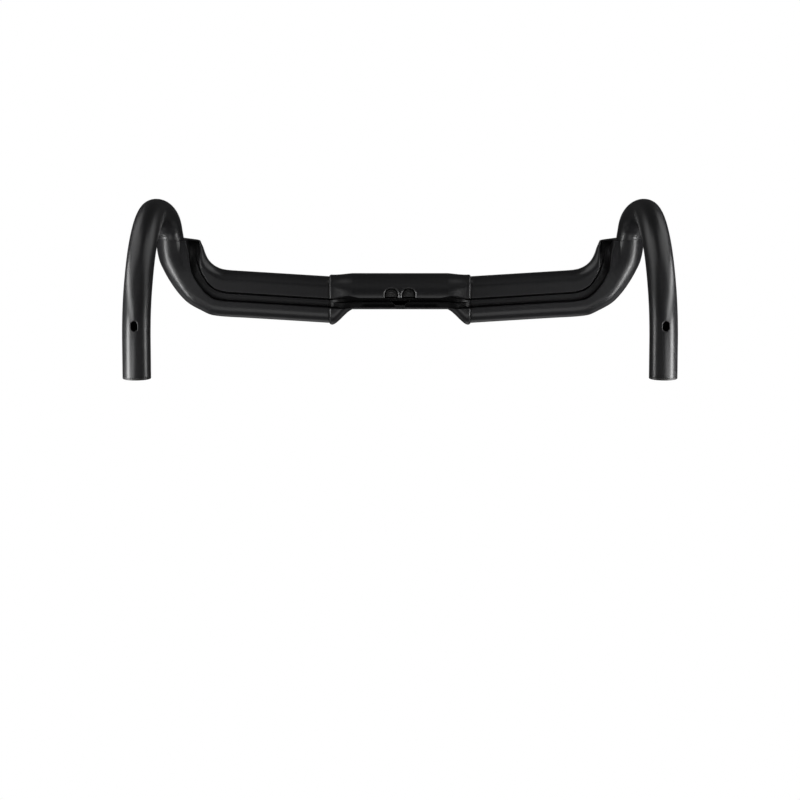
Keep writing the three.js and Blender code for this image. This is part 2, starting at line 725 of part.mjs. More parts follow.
// Sleeve with two crossing slots in its inner end.
function sleeveGeo() {
  let sleeve = solid(lathe([
    [5.6, -6.4], [9.4, -6.4], [9.4, -19], [8.3, -19], [5.6, -11.5], [5.6, -6.4],
  ], 24));
  for (const angle of [Math.PI / 4, Math.PI * 3 / 4]) {
    const slot = new THREE.BoxGeometry(24, 1.2, 9);
    slot.translate(0, 0, -15.5);
    slot.rotateZ(angle);
    sleeve = sleeve.subtract(solid(slot));
  }
  return toGeo(sleeve);
}

function wedgeGeo() {
  return lathe([
    [2.3, -10.6], [4.9, -10.6], [4.95, -11.2], [7.75, -19], [7.75, -21.5], [2.3, -21.5],
    [2.3, -10.6],
  ], 16);
}

// Screw with a hexagonal socket.
function screwGeo() {
  const screw = lathe([
    [0, -23], [1.6, -23], [1.9, -22.6], [1.9, -0.9], [4.2, -0.9], [4.2, 1.2], [3.8, 1.6],
    [0, 1.6],
  ], 16);
  const socket = new THREE.CylinderGeometry(2.3, 2.3, 4, 6);
  socket.rotateX(Math.PI / 2);
  socket.translate(0, 0, 1.9);
  return toGeo(solid(screw).subtract(solid(socket)));
}

// ---------------------------------------------------------------- materials
const CARBON = { color: 0x1c1c1e, roughness: 0.42, metalness: 0 };
const RUBBER = { color: 0x18181a, roughness: 0.75, metalness: 0 };
const NYLON = { color: 0x202022, roughness: 0.55, metalness: 0 };
const LINER_PLASTIC = { color: 0xd8d8d4, roughness: 0.5, metalness: 0 };
const ALLOY = { color: 0x8f9296, roughness: 0.35, metalness: 1 };
const STEEL = { color: 0x4a4c50, roughness: 0.3, metalness: 1 };

// ---------------------------------------------------------------- assembly
// Everything above is laid out round the clamp axis; the bar group is lowered so that
// the origin lies on the topmost facet.
const handlebar = new THREE.Group();
const bar = new THREE.Group();
bar.position.z = -CLAMP_TOP;
handlebar.add(bar);

function add(parent, name, geo, finish) {
  const mesh = new THREE.Mesh(geo, new THREE.MeshStandardMaterial(finish));
  mesh.name = name;
  parent.add(mesh);
}

// Right-hand pieces, mirrored for the left.
const SIDE_PIECES = [
  ['port_plug', portPlugGeo(), RUBBER],
  ['wing', wingGeo(), CARBON],
  ['wing_ferrule', wingFerruleGeo(), ALLOY],
  ['drop', dropGeo(), CARBON],
  ['drop_ferrule', dropFerruleGeo(), ALLOY],
  ['wire_liner', wireLinerGeo(), LINER_PLASTIC],
];
// Pieces of the expander plug, the same in both ends.
const END_PIECES = [
  ['end_plug_cap', capGeo(), NYLON],
  ['expander_sleeve', sleeveGeo(), RUBBER],
  ['expander_wedge', wedgeGeo(), ALLOY],
  ['expander_screw', screwGeo(), STEEL],
];

add(bar, 'centre_section', centreGeo(), CARBON);
for (const [side, sign] of [['right', 1], ['left', -1]]) {
  for (const [name, geo, finish] of SIDE_PIECES) {
    add(bar, `${name}_${side}`, sign > 0 ? geo : mirrored(geo), finish);
  }
  const end = new THREE.Group();
  end.position.set(sign * tubeEnd.x, tubeEnd.y, tubeEnd.z);
  end.rotation.x = Math.PI / 2 + rad(END_TILT_DEG);
  bar.add(end);
  for (const [name, geo, finish] of END_PIECES) add(end, `${name}_${side}`, geo, finish);
}

export default handlebar;
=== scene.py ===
# Looks of a drop handlebar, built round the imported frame. +X right, +Y forward, +Z up.
# Shapes are worked out in millimetres with z = 0 on the bar's axis, and scaled to metres once.
import math
from collections import namedtuple
from dataclasses import dataclass, replace
import bpy
import bmesh
import numpy as np
from mathutils import Matrix, Vector


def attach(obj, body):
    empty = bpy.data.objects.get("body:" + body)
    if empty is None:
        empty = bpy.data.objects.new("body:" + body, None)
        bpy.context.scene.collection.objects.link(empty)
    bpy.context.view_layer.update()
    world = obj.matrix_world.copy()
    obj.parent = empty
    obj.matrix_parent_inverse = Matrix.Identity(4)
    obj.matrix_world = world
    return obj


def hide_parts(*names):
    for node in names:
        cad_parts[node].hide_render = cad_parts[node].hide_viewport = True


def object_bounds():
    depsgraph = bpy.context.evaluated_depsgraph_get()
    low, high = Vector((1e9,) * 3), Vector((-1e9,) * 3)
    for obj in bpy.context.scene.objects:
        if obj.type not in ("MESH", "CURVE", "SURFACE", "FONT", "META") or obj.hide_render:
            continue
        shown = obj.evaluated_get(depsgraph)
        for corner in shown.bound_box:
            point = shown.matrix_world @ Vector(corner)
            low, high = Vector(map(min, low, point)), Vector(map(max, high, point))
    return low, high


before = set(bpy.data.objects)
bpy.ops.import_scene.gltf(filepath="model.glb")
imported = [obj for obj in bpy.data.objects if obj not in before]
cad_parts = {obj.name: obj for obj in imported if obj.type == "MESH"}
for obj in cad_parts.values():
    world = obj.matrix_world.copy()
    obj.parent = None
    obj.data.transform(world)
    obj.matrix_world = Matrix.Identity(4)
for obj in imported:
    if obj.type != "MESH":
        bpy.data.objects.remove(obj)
cad_box = [list(map(float, c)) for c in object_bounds()]
SCENE = bpy.context.scene
MM = 0.001
FRAME_TOP = 15.738451         # height of the frame's origin above the bar's axis

# ---------------------------------------------------------------- driving dimensions, mm
CLAMP_R, CLAMP_WALL = 15.9, 3.0
COLLAR_X, COLLAR_PROUD, COLLAR_CHAMFER = 61.9, 1.6, 1.4
COLLAR_REAR_ROUND = 3.0       # length of the collar's rounding at the rear edge
WING_WALL = 2.2
WING_BELOW, WING_ABOVE, WING_NOSE, WING_TAIL = 10.5, 10.2, 8, 11
TUBE_R, TUBE_WALL, JOINT_GAP = 11.9, 1.9, 0.06
FLOOR_CLAMP, FLOOR_WING = -10.3, -5.5      # height of the channel floor
SHELF_DROP = 0.8              # shelf height above the skin at the clamp
GUTTER, RECESS = 1.4, 1.8     # depth of the front groove and of the shelf recess
BORE_CLEAR = 2.3              # bore floor above the channel floor
END_DEG, DROP_STRAIGHT = 3.0, 34.0         # slope and length of the drop's straight end
HOLE_FROM_END, HOLE_W, HOLE_L = 43.5, 5.8, 8.4
FLANGE_T = 1.6
RAMP_OUT_DEG = 8.0            # outward angle at which the drop leaves the wing
SLANT_LEN = 11                # length over which the drop's oblique joint face fades out
N_FRONT, N_CHANNEL, N_REAR, N_TOP = 30, 56, 40, 56     # points on each part of a section


# ---------------------------------------------------------------- curves
def lerp(a, b, t):
    return a + (b - a) * t


def smooth(t):
    t = np.clip(t, 0, 1)
    return t * t * (3 - 2 * t)


def table(xs, ys):
    """Smooth curve through points that never overshoots them."""
    xs, ys = np.array(xs, float), np.array(ys, float)
    slope = np.diff(ys) / np.diff(xs)
    m = [slope[0]]
    for before, after in zip(slope, slope[1:]):
        flat = before * after <= 0
        m.append(0 if flat else 2 * before * after / (before + after))
    m.append(slope[-1])

    def value(x):
        x = min(max(float(x), xs[0]), xs[-1])
        i = min(int(np.searchsorted(xs, x, side="right")) - 1, len(slope) - 1)
        step = xs[i + 1] - xs[i]
        t = (x - xs[i]) / step
        a = t * t * (3 - 2 * t)
        bend = m[i] * t * (1 - t) ** 2 - m[i + 1] * t * t * (1 - t)
        return ys[i] * (1 - a) + ys[i + 1] * a + step * bend

    return value


def resample(points, n, turn_weight=6):
    """n points along a polyline, closer together where it turns."""
    points = np.asarray(points, float)
    e = np.diff(points, axis=0)
    length = np.hypot(e[:, 0], e[:, 1])
    turn = np.zeros(len(points))
    cross = e[:-1, 0] * e[1:, 1] - e[:-1, 1] * e[1:, 0]
    dot = e[:-1, 0] * e[1:, 0] + e[:-1, 1] * e[1:, 1]
    turn[1:-1] = np.abs(np.arctan2(cross, dot))
    weight = np.cumsum(length + turn_weight * (turn[:-1] + turn[1:]) / 2)
    weight = np.concatenate([[0], weight])
    t = np.linspace(0, weight[-1], n)
    return np.column_stack([np.interp(t, weight, points[:, k]) for k in (0, 1)])


def corner_arc(before, corner, after, steps):
    """Points rounding a corner (x, y, rounding) between its two neighbours."""
    p, q, r = (np.array(c[:2], float) for c in (before, corner, after))
    a, b = p - q, r - q
    len_a, len_b = np.hypot(*a), np.hypot(*b)
    k = min(corner[2], len_a * 0.45, len_b * 0.45)
    start, end = q + a / len_a * k, q + b / len_b * k
    return [(1 - t) ** 2 * start + 2 * t * (1 - t) * q + t * t * end
            for t in np.linspace(0, 1, steps)]


def rounded_line(corners, n):
    """n points along an open line of (x, y, rounding) corners."""
    out = [np.array(corners[0][:2], float)]
    for trio in zip(corners, corners[1:], corners[2:]):
        out += corner_arc(*trio, steps=7)
    out.append(np.array(corners[-1][:2], float))
    return resample(out, n, 0.8)


def rounded_loop(corners):
    """Closed loop of (r, z, rounding) corners with each corner rounded off."""
    out = []
    for i, corner in enumerate(corners):
        out += corner_arc(corners[i - 1], corner, corners[(i + 1) % len(corners)], steps=5)
    return out


def arc_points(cx, rx, rz, deg0, deg1, n):
    t = np.radians(np.linspace(deg0, deg1, n))
    return np.column_stack([cx + rx * np.cos(t), rz * np.sin(t)])


def stations(*spans):
    """Sorted places without repeats."""
    return np.unique(np.round(np.concatenate(spans), 4))


# ---------------------------------------------------------------- wing stations
# x, y of the front edge (it turns inboard), x, y of the rear edge (it turns outboard),
# then the channel mouth's two edges as distances from the front edge.
WING = np.array([
    [62.2, 13.2, 62.2, -28.1, 17.5, 26.4],
    [90, 14.95, 90, -26.35, 17.5, 26.35],
    [118, 16.7, 118, -24.6, 17.4, 26.3],
    [138, 17.95, 138, -23.4, 17.35, 26.3],
    [149.6, 18.75, 152.6, -22.6, 17.3, 26.3],
    [155.6, 19.65, 164.6, -21.2, 16.6, 26.2],
    [160.6, 21.6, 175.5, -16.4, 14.6, 24.0],
    [164.4, 24.2, 186.0, -10.2, 11.2, 20.8],
    [167.1, 27.1, 194.0, -2.0, 8.9, 18.6],
    [169.1, 30.3, 200.9, 7.8, 6.4, 16.6],
    [170.7, 33.8, 206.5, 17.8, 4.2, 14.4],
    [172.3, 38.3, 210.9, 28.2, 2.2, 12.7],
    [173.7, 41.2, 212.8, 38.8, 1.3, 12.1],
    [174.9, 44.0, 213.3, 48.8, 1.0, 11.8]])
WING_X, WING_MOUTH = WING[0, 0], WING[0, 4:6]
middle = (WING[:, 0:2] + WING[:, 2:4]) / 2
WING_S = np.concatenate([[0], np.cumsum(np.hypot(*np.diff(middle, axis=0).T))])
WING_END = WING_S[-1]
WING_CURVES = [table(WING_S, WING[:, k]) for k in range(6)]

# Joint with the drop: across the wing's end, square to its face, and the drop's own direction.
end_front, end_rear = WING[-1, 0:2], WING[-1, 2:4]
CHORD = (end_rear - end_front) / np.hypot(*(end_rear - end_front))
FACE_OUT = np.array([-CHORD[1], CHORD[0]])
RAMP = np.array([math.sin(math.radians(RAMP_OUT_DEG)), math.cos(math.radians(RAMP_OUT_DEG))])
OBLIQUE = 1 / float(RAMP @ FACE_OUT)
TUBE_START = end_rear - CHORD * TUBE_R * OBLIQUE


# ---------------------------------------------------------------- section outlines
@dataclass
class Section:
    """Cross-section; distances run back from its front point, heights up from the axis."""
    chord: float
    below: float
    above: float
    nose: float               # length of the front rounding
    tail: float               # length of the rear rounding
    mouth_front: float        # channel mouth in the underside
    mouth_rear: float
    step: float               # start of the shelf behind the channel floor
    floor: float
    shelf: float = 0          # 0 level with the floor, 1 down near the skin
    recess: float = 0         # share of the full shelf recess
    lift: float = 0           # raises an inner loop's front underside to the floor


def outline(sec, inset=0.0):
    """Loop of (distance back, z): front underside, channel, rear underside, top."""
    inside = inset > 0
    chord, below, above = sec.chord - 2 * inset, sec.below - inset, sec.above - inset
    nose, tail = max(sec.nose - inset, 1), max(sec.tail - inset, 1)
    a0, a1, step, h = sec.mouth_front - 2 * inset, sec.mouth_rear, sec.step, sec.shelf
    floor = sec.floor + inset + (0.7 * (1 - h) if inside else 0)
    gutter, recess = GUTTER * (1 - h), RECESS * sec.recess
    if inside:
        gutter = recess = 0
    edge = 0.7                # run of skin beside the mouth given to the channel

    def fullness(a):
        if a < nose:
            return math.sqrt(max(0, 1 - ((nose - a) / nose) ** 2))
        if a > chord - tail:
            return math.sqrt(max(0, 1 - ((a - chord + tail) / tail) ** 2))
        return 1

    def under(a):
        return -below * fullness(a)

    def over(a):
        return above * fullness(a)

    def curve(start, end, f, n=160):
        a = start + (end - start) * (1 - np.cos(np.pi * np.arange(n + 1) / n)) / 2
        return np.column_stack([a, [f(v) for v in a]])

    def shelf(a):
        low = under(a) + SHELF_DROP
        return max(lerp(floor, low, h), min(low, floor))

    front = resample(curve(0, a0 - edge, under), N_FRONT)
    if inside and sec.lift:
        front[:, 1] = lerp(front[:, 1], np.maximum(front[:, 1], floor), sec.lift)
    lift = sec.lift if inside else 0
    rear_lip = a1 - 0.35 - 0.55 * (1 - h)
    channel = rounded_line([                       # distance back, z, rounding
        (a0 - edge, front[-1, 1], 0),
        (a0 + 0.02, lerp(under(a0), floor - 0.01, lift), 0.6 - 0.15 * h),
        (a0 + 0.16, floor + gutter, 0.3),
        (a0 + 2.3, floor + gutter, 0.25),
        (a0 + 2.6, floor, 0.25),
        (step - 0.35, floor, 0.3),
        (step, shelf(step) - 0.05, 0.5),
        (step + 0.9, shelf(step + 0.9) + 0.08 * recess, 0.6),
        (step + 1.55, shelf(step + 1.55) + recess, 0.25),
        (a1 - 1.25, shelf(a1 - 1.25) + recess, 0.25),
        (a1 - 0.95, shelf(a1 - 0.95), 0.25),
        (rear_lip, shelf(a1 - 0.35), 0.3 + 0.3 * (1 - h)),
        (a1, under(a1), 0.5 - 0.21 * h),
        (a1 + edge, under(a1 + edge), 0)], N_CHANNEL + 2)[1:-1]
    rear = resample(curve(a1 + edge, chord, under), N_REAR)
    top = resample(curve(chord, 0, over), N_TOP + 2)[1:-1]
    loop = np.concatenate([front, channel, rear, top])
    loop[:, 0] += inset
    return loop


def painted_recess_shade(z, floor):
    """Painted shade: 0 on the open skin, 1 inside a recess, where the carbon is painted near black
    and also made rougher and less glossy.
    """
    out = np.zeros(len(z))
    part = slice(N_FRONT, N_FRONT + N_CHANNEL)
    channel = z[part]
    deep = smooth((channel - channel.min() - 0.5) / 1.2)
    deck = 1 - smooth((np.abs(channel - floor) - 0.1) / 0.35)
    out[part] = deep * (1 - deck * 0.85 * float(smooth((floor + 8.5) / 2.5)))
    return out


def clamp_bore(sec, extra=0.0):
    """Round bore of the clamp with a flat floor, point for point with outline()."""
    c, r = CLAMP_R, CLAMP_R - CLAMP_WALL - extra
    floor = sec.floor + BORE_CLEAR + extra
    half, low = math.sqrt(r * r - floor * floor), math.degrees(math.asin(-floor / r))
    front = np.concatenate([arc_points(c, r, r, 180, 180 + low, 40), [[c + 1.2, floor]]])
    flat = np.linspace(c + 1.6, c + half - 1.4, N_CHANNEL)
    rear = np.concatenate([[[c + half - 0.9, floor]], arc_points(c, r, r, 360 - low, 360, 40)])
    return np.concatenate([
        resample(front, N_FRONT), np.column_stack([flat, np.full(N_CHANNEL, floor)]),
        resample(rear, N_REAR), resample(arc_points(c, r, r, 0, 180, 80), N_TOP + 2)[1:-1]])


def tube_centre(sec):
    return sec.chord - TUBE_R * OBLIQUE


def end_bore(sec, inset):
    """Bore of the wing where it meets the drop."""
    r = TUBE_R - inset
    t = np.radians(np.concatenate([
        np.linspace(172, 184, N_FRONT, endpoint=False),
        np.linspace(184, 200, N_CHANNEL, endpoint=False),
        np.linspace(200, 360, N_REAR), np.linspace(0, 172, N_TOP + 2)[1:-1]]))
    return np.column_stack([tube_centre(sec) + OBLIQUE * r * np.cos(t), r * np.sin(t)])


def end_outline(sec):
    """Outside of the wing where it meets the drop: the tube with a lip on its front side."""
    floor, tip, lip = 4.6, 5.4, 0.9           # heights of the channel floor, lip tip and lip foot
    shoulder, shoulder_z = 5.2, 10.8          # where the lip's top leaves the roof
    foot, foot_z = sec.mouth_rear + 0.9, -7.5
    a0, a1, cx = sec.mouth_front, sec.mouth_rear, tube_centre(sec)
    wide = OBLIQUE * TUBE_R
    t = np.linspace(0, math.pi / 2, 30)
    nose = np.column_stack([(a0 - 0.1) * (1 - np.cos(t)), tip - (tip - lip) * np.sin(t)])
    channel = rounded_line([
        (*nose[-1], 0), (a0 + 0.45, floor, 1.4), (a1 - 0.6, floor, 1.6),
        (a1 + 0.1, -6.8, 0.5), (foot, foot_z, 0)], N_CHANNEL + 2)[1:-1]
    low = np.concatenate([[[foot, foot_z]], arc_points(cx, wide, TUBE_R, 223, 360, 80)])
    t = t[1:]
    lip_top = np.column_stack([shoulder * (1 - np.sin(t)), tip + (shoulder_z - tip) * np.cos(t)])
    roof = np.concatenate([arc_points(cx, wide, TUBE_R, 0, 97, 70),
                           [[8, 10.9], [shoulder, shoulder_z]], lip_top])
    return np.concatenate([resample(nose, N_FRONT, 2), channel, resample(low, N_REAR),
                           resample(roof, N_TOP + 2)[1:-1]])


# ---------------------------------------------------------------- sections along the bar
# Share of the wing profile in the section, against x.
swell = table([42, 45, 48.4, 52.8, 56.3, 58.5, 60], [0, 0.13, 0.335, 0.65, 0.87, 0.97, 1])


def proud_at(x):
    """Collar height over the wing skin, with the outboard edge rounded off."""
    t = np.clip((x - (COLLAR_X - COLLAR_CHAMFER)) / COLLAR_CHAMFER, 0, 1)
    return COLLAR_PROUD * (1 - 0.9 * (0.35 * t + 0.65 * (1 - math.sqrt(1 - t * t))))


def centre_section(x):
    """Front y, section and wall thickness at x >= 0, from round clamp to wing profile."""
    w, proud = swell(x), proud_at(x)
    t = float(np.clip((x - (COLLAR_X - COLLAR_REAR_ROUND)) / COLLAR_REAR_ROUND, 0, 1))
    rear_proud = min(proud, COLLAR_PROUD * math.sqrt(max(0.01, 1 - t ** 2)))
    wing_front, wing_rear = 13.2 + (x - 62) * 0.0625, -28.1 + (x - 62) * 0.0618
    front_y = lerp(CLAMP_R, wing_front + proud, w)
    rear_y = lerp(-CLAMP_R, wing_rear - rear_proud, w)
    forward = 2.0 * float(smooth((x - 34) / 12) * (1 - smooth((x - 49) / 13)))
    sec = Section(
        chord=front_y - rear_y,
        below=lerp(CLAMP_R, WING_BELOW + proud, w),
        above=lerp(CLAMP_R, WING_ABOVE + proud, w),
        nose=lerp(CLAMP_R, WING_NOSE + proud, w),
        tail=lerp(CLAMP_R, WING_TAIL + proud, w),
        mouth_front=front_y - (lerp(-3.25, wing_front - WING_MOUTH[0], w) + forward),
        mouth_rear=front_y - lerp(-12.85, wing_front - WING_MOUTH[1], w),
        step=front_y - lerp(-7.5, wing_front - 22, w),
        floor=lerp(FLOOR_CLAMP, FLOOR_WING, smooth((x - 47) / 15)),
        shelf=float(1 - smooth((x - 42) / 19)),
        recess=float(smooth((x - 3.2) / 3.5) * (1 - smooth((x - 30) / 5))))
    return front_y, sec, lerp(CLAMP_WALL, WING_WALL + proud, w)


def centre_ring(x, clearance=None):
    """Outer ring at x, or with a clearance the ring that far inside the wall."""
    front_y, sec, wall = centre_section(abs(x))
    if clearance is None:
        loop = outline(sec)
    else:
        loop = outline(sec, wall + clearance)
        t = float(smooth((abs(x) - 46.5) / 9))
        if t < 1:
            loop = lerp(clamp_bore(sec, clearance), loop, t)
    return np.column_stack([np.full(len(loop), x), front_y - loop[:, 0], loop[:, 1]])


def wing_station(s):
    """Front point, unit vector to the rear point, and section at distance s."""
    front_x, front_y, rear_x, rear_y, a0, a1 = (f(s) for f in WING_CURVES)
    front, rear = np.array([front_x, front_y]), np.array([rear_x, rear_y])
    chord = math.hypot(*(front - rear))
    g = float(smooth((s - WING_S[4]) / (WING_S[9] - WING_S[4])))
    sec = Section(
        chord=chord, below=lerp(WING_BELOW, TUBE_R, g), above=lerp(WING_ABOVE, TUBE_R - 0.2, g),
        nose=min(lerp(WING_NOSE, 6.5, g), max(a0 - 0.9, 1)), tail=lerp(WING_TAIL, TUBE_R, g),
        mouth_front=a0, mouth_rear=a1, step=lerp(a0, a1, 0.5), floor=FLOOR_WING - g)
    return front, (rear - front) / chord, sec


def wing_outer(s):
    sec = wing_station(s)[2]
    t = float(np.clip((s - WING_S[8]) / (WING_END - WING_S[8]), 0, 1))
    return lerp(outline(sec), end_outline(sec), lerp(float(smooth(t)), t * t, 0.35))


def wing_inner(s, inset):
    sec = wing_station(s)[2]
    inner = replace(sec, nose=max(sec.nose, 5), mouth_front=max(sec.mouth_front, 2 * inset + 3.4),
                    lift=float(smooth((s - WING_S[5]) / (WING_S[7] - WING_S[5]))))
    t = float(smooth((s - WING_S[7]) / (WING_S[10] - WING_S[7])))
    return lerp(outline(inner, inset), end_bore(sec, inset - 0.3), t)


def wing_ring(s, loop):
    """Stands a section loop up across the wing at s."""
    front, back, _ = wing_station(s)
    return np.column_stack([front + np.outer(loop[:, 0], back), loop[:, 1]])


# ---------------------------------------------------------------- mesh helpers
def points_of(me):
    """Vertex places, metres."""
    co = np.zeros(len(me.vertices) * 3, np.float32)
    me.vertices.foreach_get("co", co)
    return co.reshape(-1, 3)


def set_points(me, co):
    me.vertices.foreach_set("co", co.astype(np.float32).ravel())


def place(ob, turn, origin):
    set_points(ob.data, ((points_of(ob.data) / MM) @ turn.T + origin) * MM)
    ob.data.update()


def grain_layer(me):
    """Per-point (along, around, painted recess shade) used by the carbon; made if the mesh has
    none.
    """
    return me.attributes.get("grain") or me.attributes.new("grain", "FLOAT_VECTOR", "POINT")


def set_grain(me, grain):
    grain_layer(me).data.foreach_set("vector", np.asarray(grain, np.float32).ravel())


def new_object(name, verts, faces, grain=None):
    me = bpy.data.meshes.new(name)
    me.from_pydata([tuple(v) for v in np.asarray(verts) * MM], [],
                   [tuple(int(i) for i in f) for f in faces])
    if grain is not None:
        set_grain(me, grain)
    bm = bmesh.new()
    bm.from_mesh(me)
    bmesh.ops.recalc_face_normals(bm, faces=bm.faces)
    if bm.calc_volume(signed=True) < 0:
        bmesh.ops.reverse_faces(bm, faces=bm.faces)
    bm.to_mesh(me)
    bm.free()
    me.validate()
    ob = bpy.data.objects.new(name, me)
    SCENE.collection.objects.link(ob)
    return ob


def soften(ob, degrees=40):
    me = ob.data
    me.polygons.foreach_set("use_smooth", np.ones(len(me.polygons), bool))
    me.set_sharp_from_angle(angle=math.radians(degrees))
    me.update()


def grain_of(rings, along, shade_masks=None):
    out = []
    for ring, s, shade_mask in zip(rings, along, shade_masks or [0] * len(rings)):
        edges = np.linalg.norm(np.diff(ring, axis=0, append=ring[:1]), axis=1)
        g = np.zeros((len(ring), 3))
        g[:, 0] = s
        g[1:, 1] = np.cumsum(edges)[:-1]
        g[:, 2] = shade_mask
        out.append(g)
    return out


def shell(name, outer, inner, along_outer, along_inner, shade_masks=None):
    """Closed wall between outer and inner rings, whose numbers of rings may differ."""
    n, rows_out, rows_in = len(outer[0]), len(outer), len(inner)
    grain = grain_of(outer, along_outer, shade_masks) + grain_of(inner, along_inner)
    base = rows_out * n
    i = np.arange(n)
    j = (i + 1) % n
    faces = []
    for r in range(rows_out - 1):
        a, b = r * n, (r + 1) * n
        faces.append(np.stack([a + i, a + j, b + j, b + i], 1))
    for r in range(rows_in - 1):
        a, b = base + r * n, base + (r + 1) * n
        faces.append(np.stack([a + j, a + i, b + i, b + j], 1))
    last_out, last_in = (rows_out - 1) * n, base + (rows_in - 1) * n
    faces.append(np.stack([base + i, base + j, j, i], 1))
    faces.append(np.stack([last_out + i, last_out + j, last_in + j, last_in + i], 1))
    return new_object(name, np.concatenate(outer + inner), np.concatenate(faces),
                      np.concatenate(grain))


def cut(ob, tools):
    for tool in tools:
        m = ob.modifiers.new("cut", "BOOLEAN")
        m.operation, m.solver, m.object = "DIFFERENCE", "EXACT", tool
        graph = bpy.context.evaluated_depsgraph_get()
        me = bpy.data.meshes.new_from_object(ob.evaluated_get(graph))
        ob.modifiers.remove(m)
        old = ob.data
        ob.data = me
        bpy.data.meshes.remove(old)
    for tool in tools:
        bpy.data.objects.remove(tool)
    ob.data.name = ob.name


def mirror_x(ob, name):
    me = ob.data.copy()
    me.name = name
    set_points(me, points_of(me) * np.array([-1, 1, 1], np.float32))
    me.flip_normals()
    me.update()
    mirrored = bpy.data.objects.new(name, me)
    SCENE.collection.objects.link(mirrored)
    return mirrored


def prism(name, poly, z0, z1):
    n = len(poly)
    verts = [(x, y, z) for z in (z0, z1) for x, y in poly]
    sides = [[i, (i + 1) % n, n + (i + 1) % n, n + i] for i in range(n)]
    return new_object(name, verts, [list(range(n))[::-1], list(range(n, 2 * n))] + sides)


def lathe(name, profile, n=96):
    """Ring or solid turned round Z from (r, z) points; points on the axis close it."""
    verts, faces, rows = [], [], []
    turns = [2 * math.pi * k / n for k in range(n)]
    for r, z in profile:
        if r < 1e-6:
            rows.append([len(verts)] * n)
            verts.append((0, 0, z))
        else:
            rows.append(list(range(len(verts), len(verts) + n)))
            verts += [(r * math.cos(t), r * math.sin(t), z) for t in turns]
    closed = profile[0][0] > 1e-6 and profile[-1][0] > 1e-6
    for row, following in zip(rows, rows[1:] + (rows[:1] if closed else [])):
        for k in range(n):
            j = (k + 1) % n
            face = list(dict.fromkeys([row[k], row[j], following[j], following[k]]))
            if len(face) > 2:
                faces.append(face)
    return new_object(name, verts, faces)


def poly_distance(poly, x, y):
    """Distance from a closed polygon, positive outside it."""
    a, b = poly, np.roll(poly, -1, axis=0)
    p = np.stack([x, y], 1)[:, None, :]
    ab = (b - a)[None]
    t = np.clip(((p - a[None]) * ab).sum(2) / (ab ** 2).sum(2), 0, 1)
    d = np.sqrt((((a[None] + ab * t[..., None]) - p) ** 2).sum(2)).min(1)
    inside = np.zeros(len(x), bool)
    for (ax, ay), (bx, by) in zip(a, b):
        cross = (ay > y) != (by > y)
        with np.errstate(divide="ignore", invalid="ignore"):
            inside ^= cross & (x < (bx - ax) * (y - ay) / (by - ay) + ax)
    return np.where(inside, -d, d)


def roll_edge(ob, distance, region, radius, push, cuts, bead=0.0):
    """Rounds the skin into an opening about to be cut: finer faces near the opening's edge,
    then a quarter-round pushed inwards, with an optional raised bead round it."""
    bm = bmesh.new()
    bm.from_mesh(ob.data)

    def places():
        return np.array([v.co[:] for v in bm.verts]) / MM

    bm.verts.ensure_lookup_table()
    co = places()
    near = (np.abs(distance(co)) < radius + 0.9) & region(co)
    edges = [e for e in bm.edges if near[e.verts[0].index] or near[e.verts[1].index]]
    bmesh.ops.subdivide_edges(bm, edges=edges, cuts=cuts, use_grid_fill=True)
    bm.verts.index_update()
    bmesh.ops.triangulate(bm, faces=[f for f in bm.faces if len(f.verts) > 4])
    co = places()
    d = distance(co)
    round_in = np.sqrt(np.maximum(0, radius ** 2 - (radius - np.minimum(d, radius)) ** 2))
    depth = np.where(d <= 0, radius, radius - round_in)
    raised = -bead * np.sin(np.pi * np.clip((d - radius + 0.15) / 1.0, 0, 1)) ** 2
    depth = np.where(region(co) & (d < radius + 0.85),
                     np.where(d < radius, depth, 0) + raised, 0)
    for v, k in zip(bm.verts, depth):
        if k != 0:
            v.co += Vector(push) * float(k) * MM
    bm.to_mesh(ob.data)
    bm.free()
    ob.data.update()


def shifted(loop, d):
    """Outline moved inwards by d, point by point."""
    t = np.roll(loop, -1, axis=0) - np.roll(loop, 1, axis=0)
    t /= np.maximum(np.hypot(t[:, 0], t[:, 1]), 1e-9)[:, None]
    x, y = loop.T
    area = 0.5 * np.sum(x * np.roll(y, -1) - np.roll(x, -1) * y)
    return loop + np.stack([-t[:, 1], t[:, 0]], 1) * (1 if area > 0 else -1) * d


# ---------------------------------------------------------------- centre moulding
# Two arched ports in the clamp's underside, and a funnel-shaped opening behind them.
PORT_X0, PORT_X1, PORT_Y0, PORT_Y1 = 1.75, 13.4, -4.2, 5.1
PORT_ARCH = 0.86              # height of the arch over half its width
FUNNEL_EDGE = [               # right-hand edge, front to rear: x, y, rounding
    (8.6, -6.4, 0), (6.9, -8.2, 1.2), (5.2, -9.6, 1.2), (4.3, -11.2, 1.0),
    (4.0, -13, 1.0), (4.0, -18, 0)]


def port(grow=0.0, low=-math.inf):
    """Right port outline, grown all round and cut off straight at y = low."""
    x0, x1, y0, top = PORT_X0 - grow, PORT_X1 + grow, PORT_Y0 - grow, PORT_Y1 + grow
    r = (x1 - x0) / 2
    rise = r * PORT_ARCH
    arch = [((x0 + x1) / 2 + r * math.cos(a), top - rise + rise * math.sin(a))
            for a in np.linspace(0, np.pi, 44)]
    return np.array([(x, max(y, low)) for x, y in [(x1, y0)] + arch + [(x0, y0)]])


def flipped(loop):
    return (loop * [-1, 1])[::-1]


def both_sides(v):
    return np.concatenate([-v[:0:-1], v])


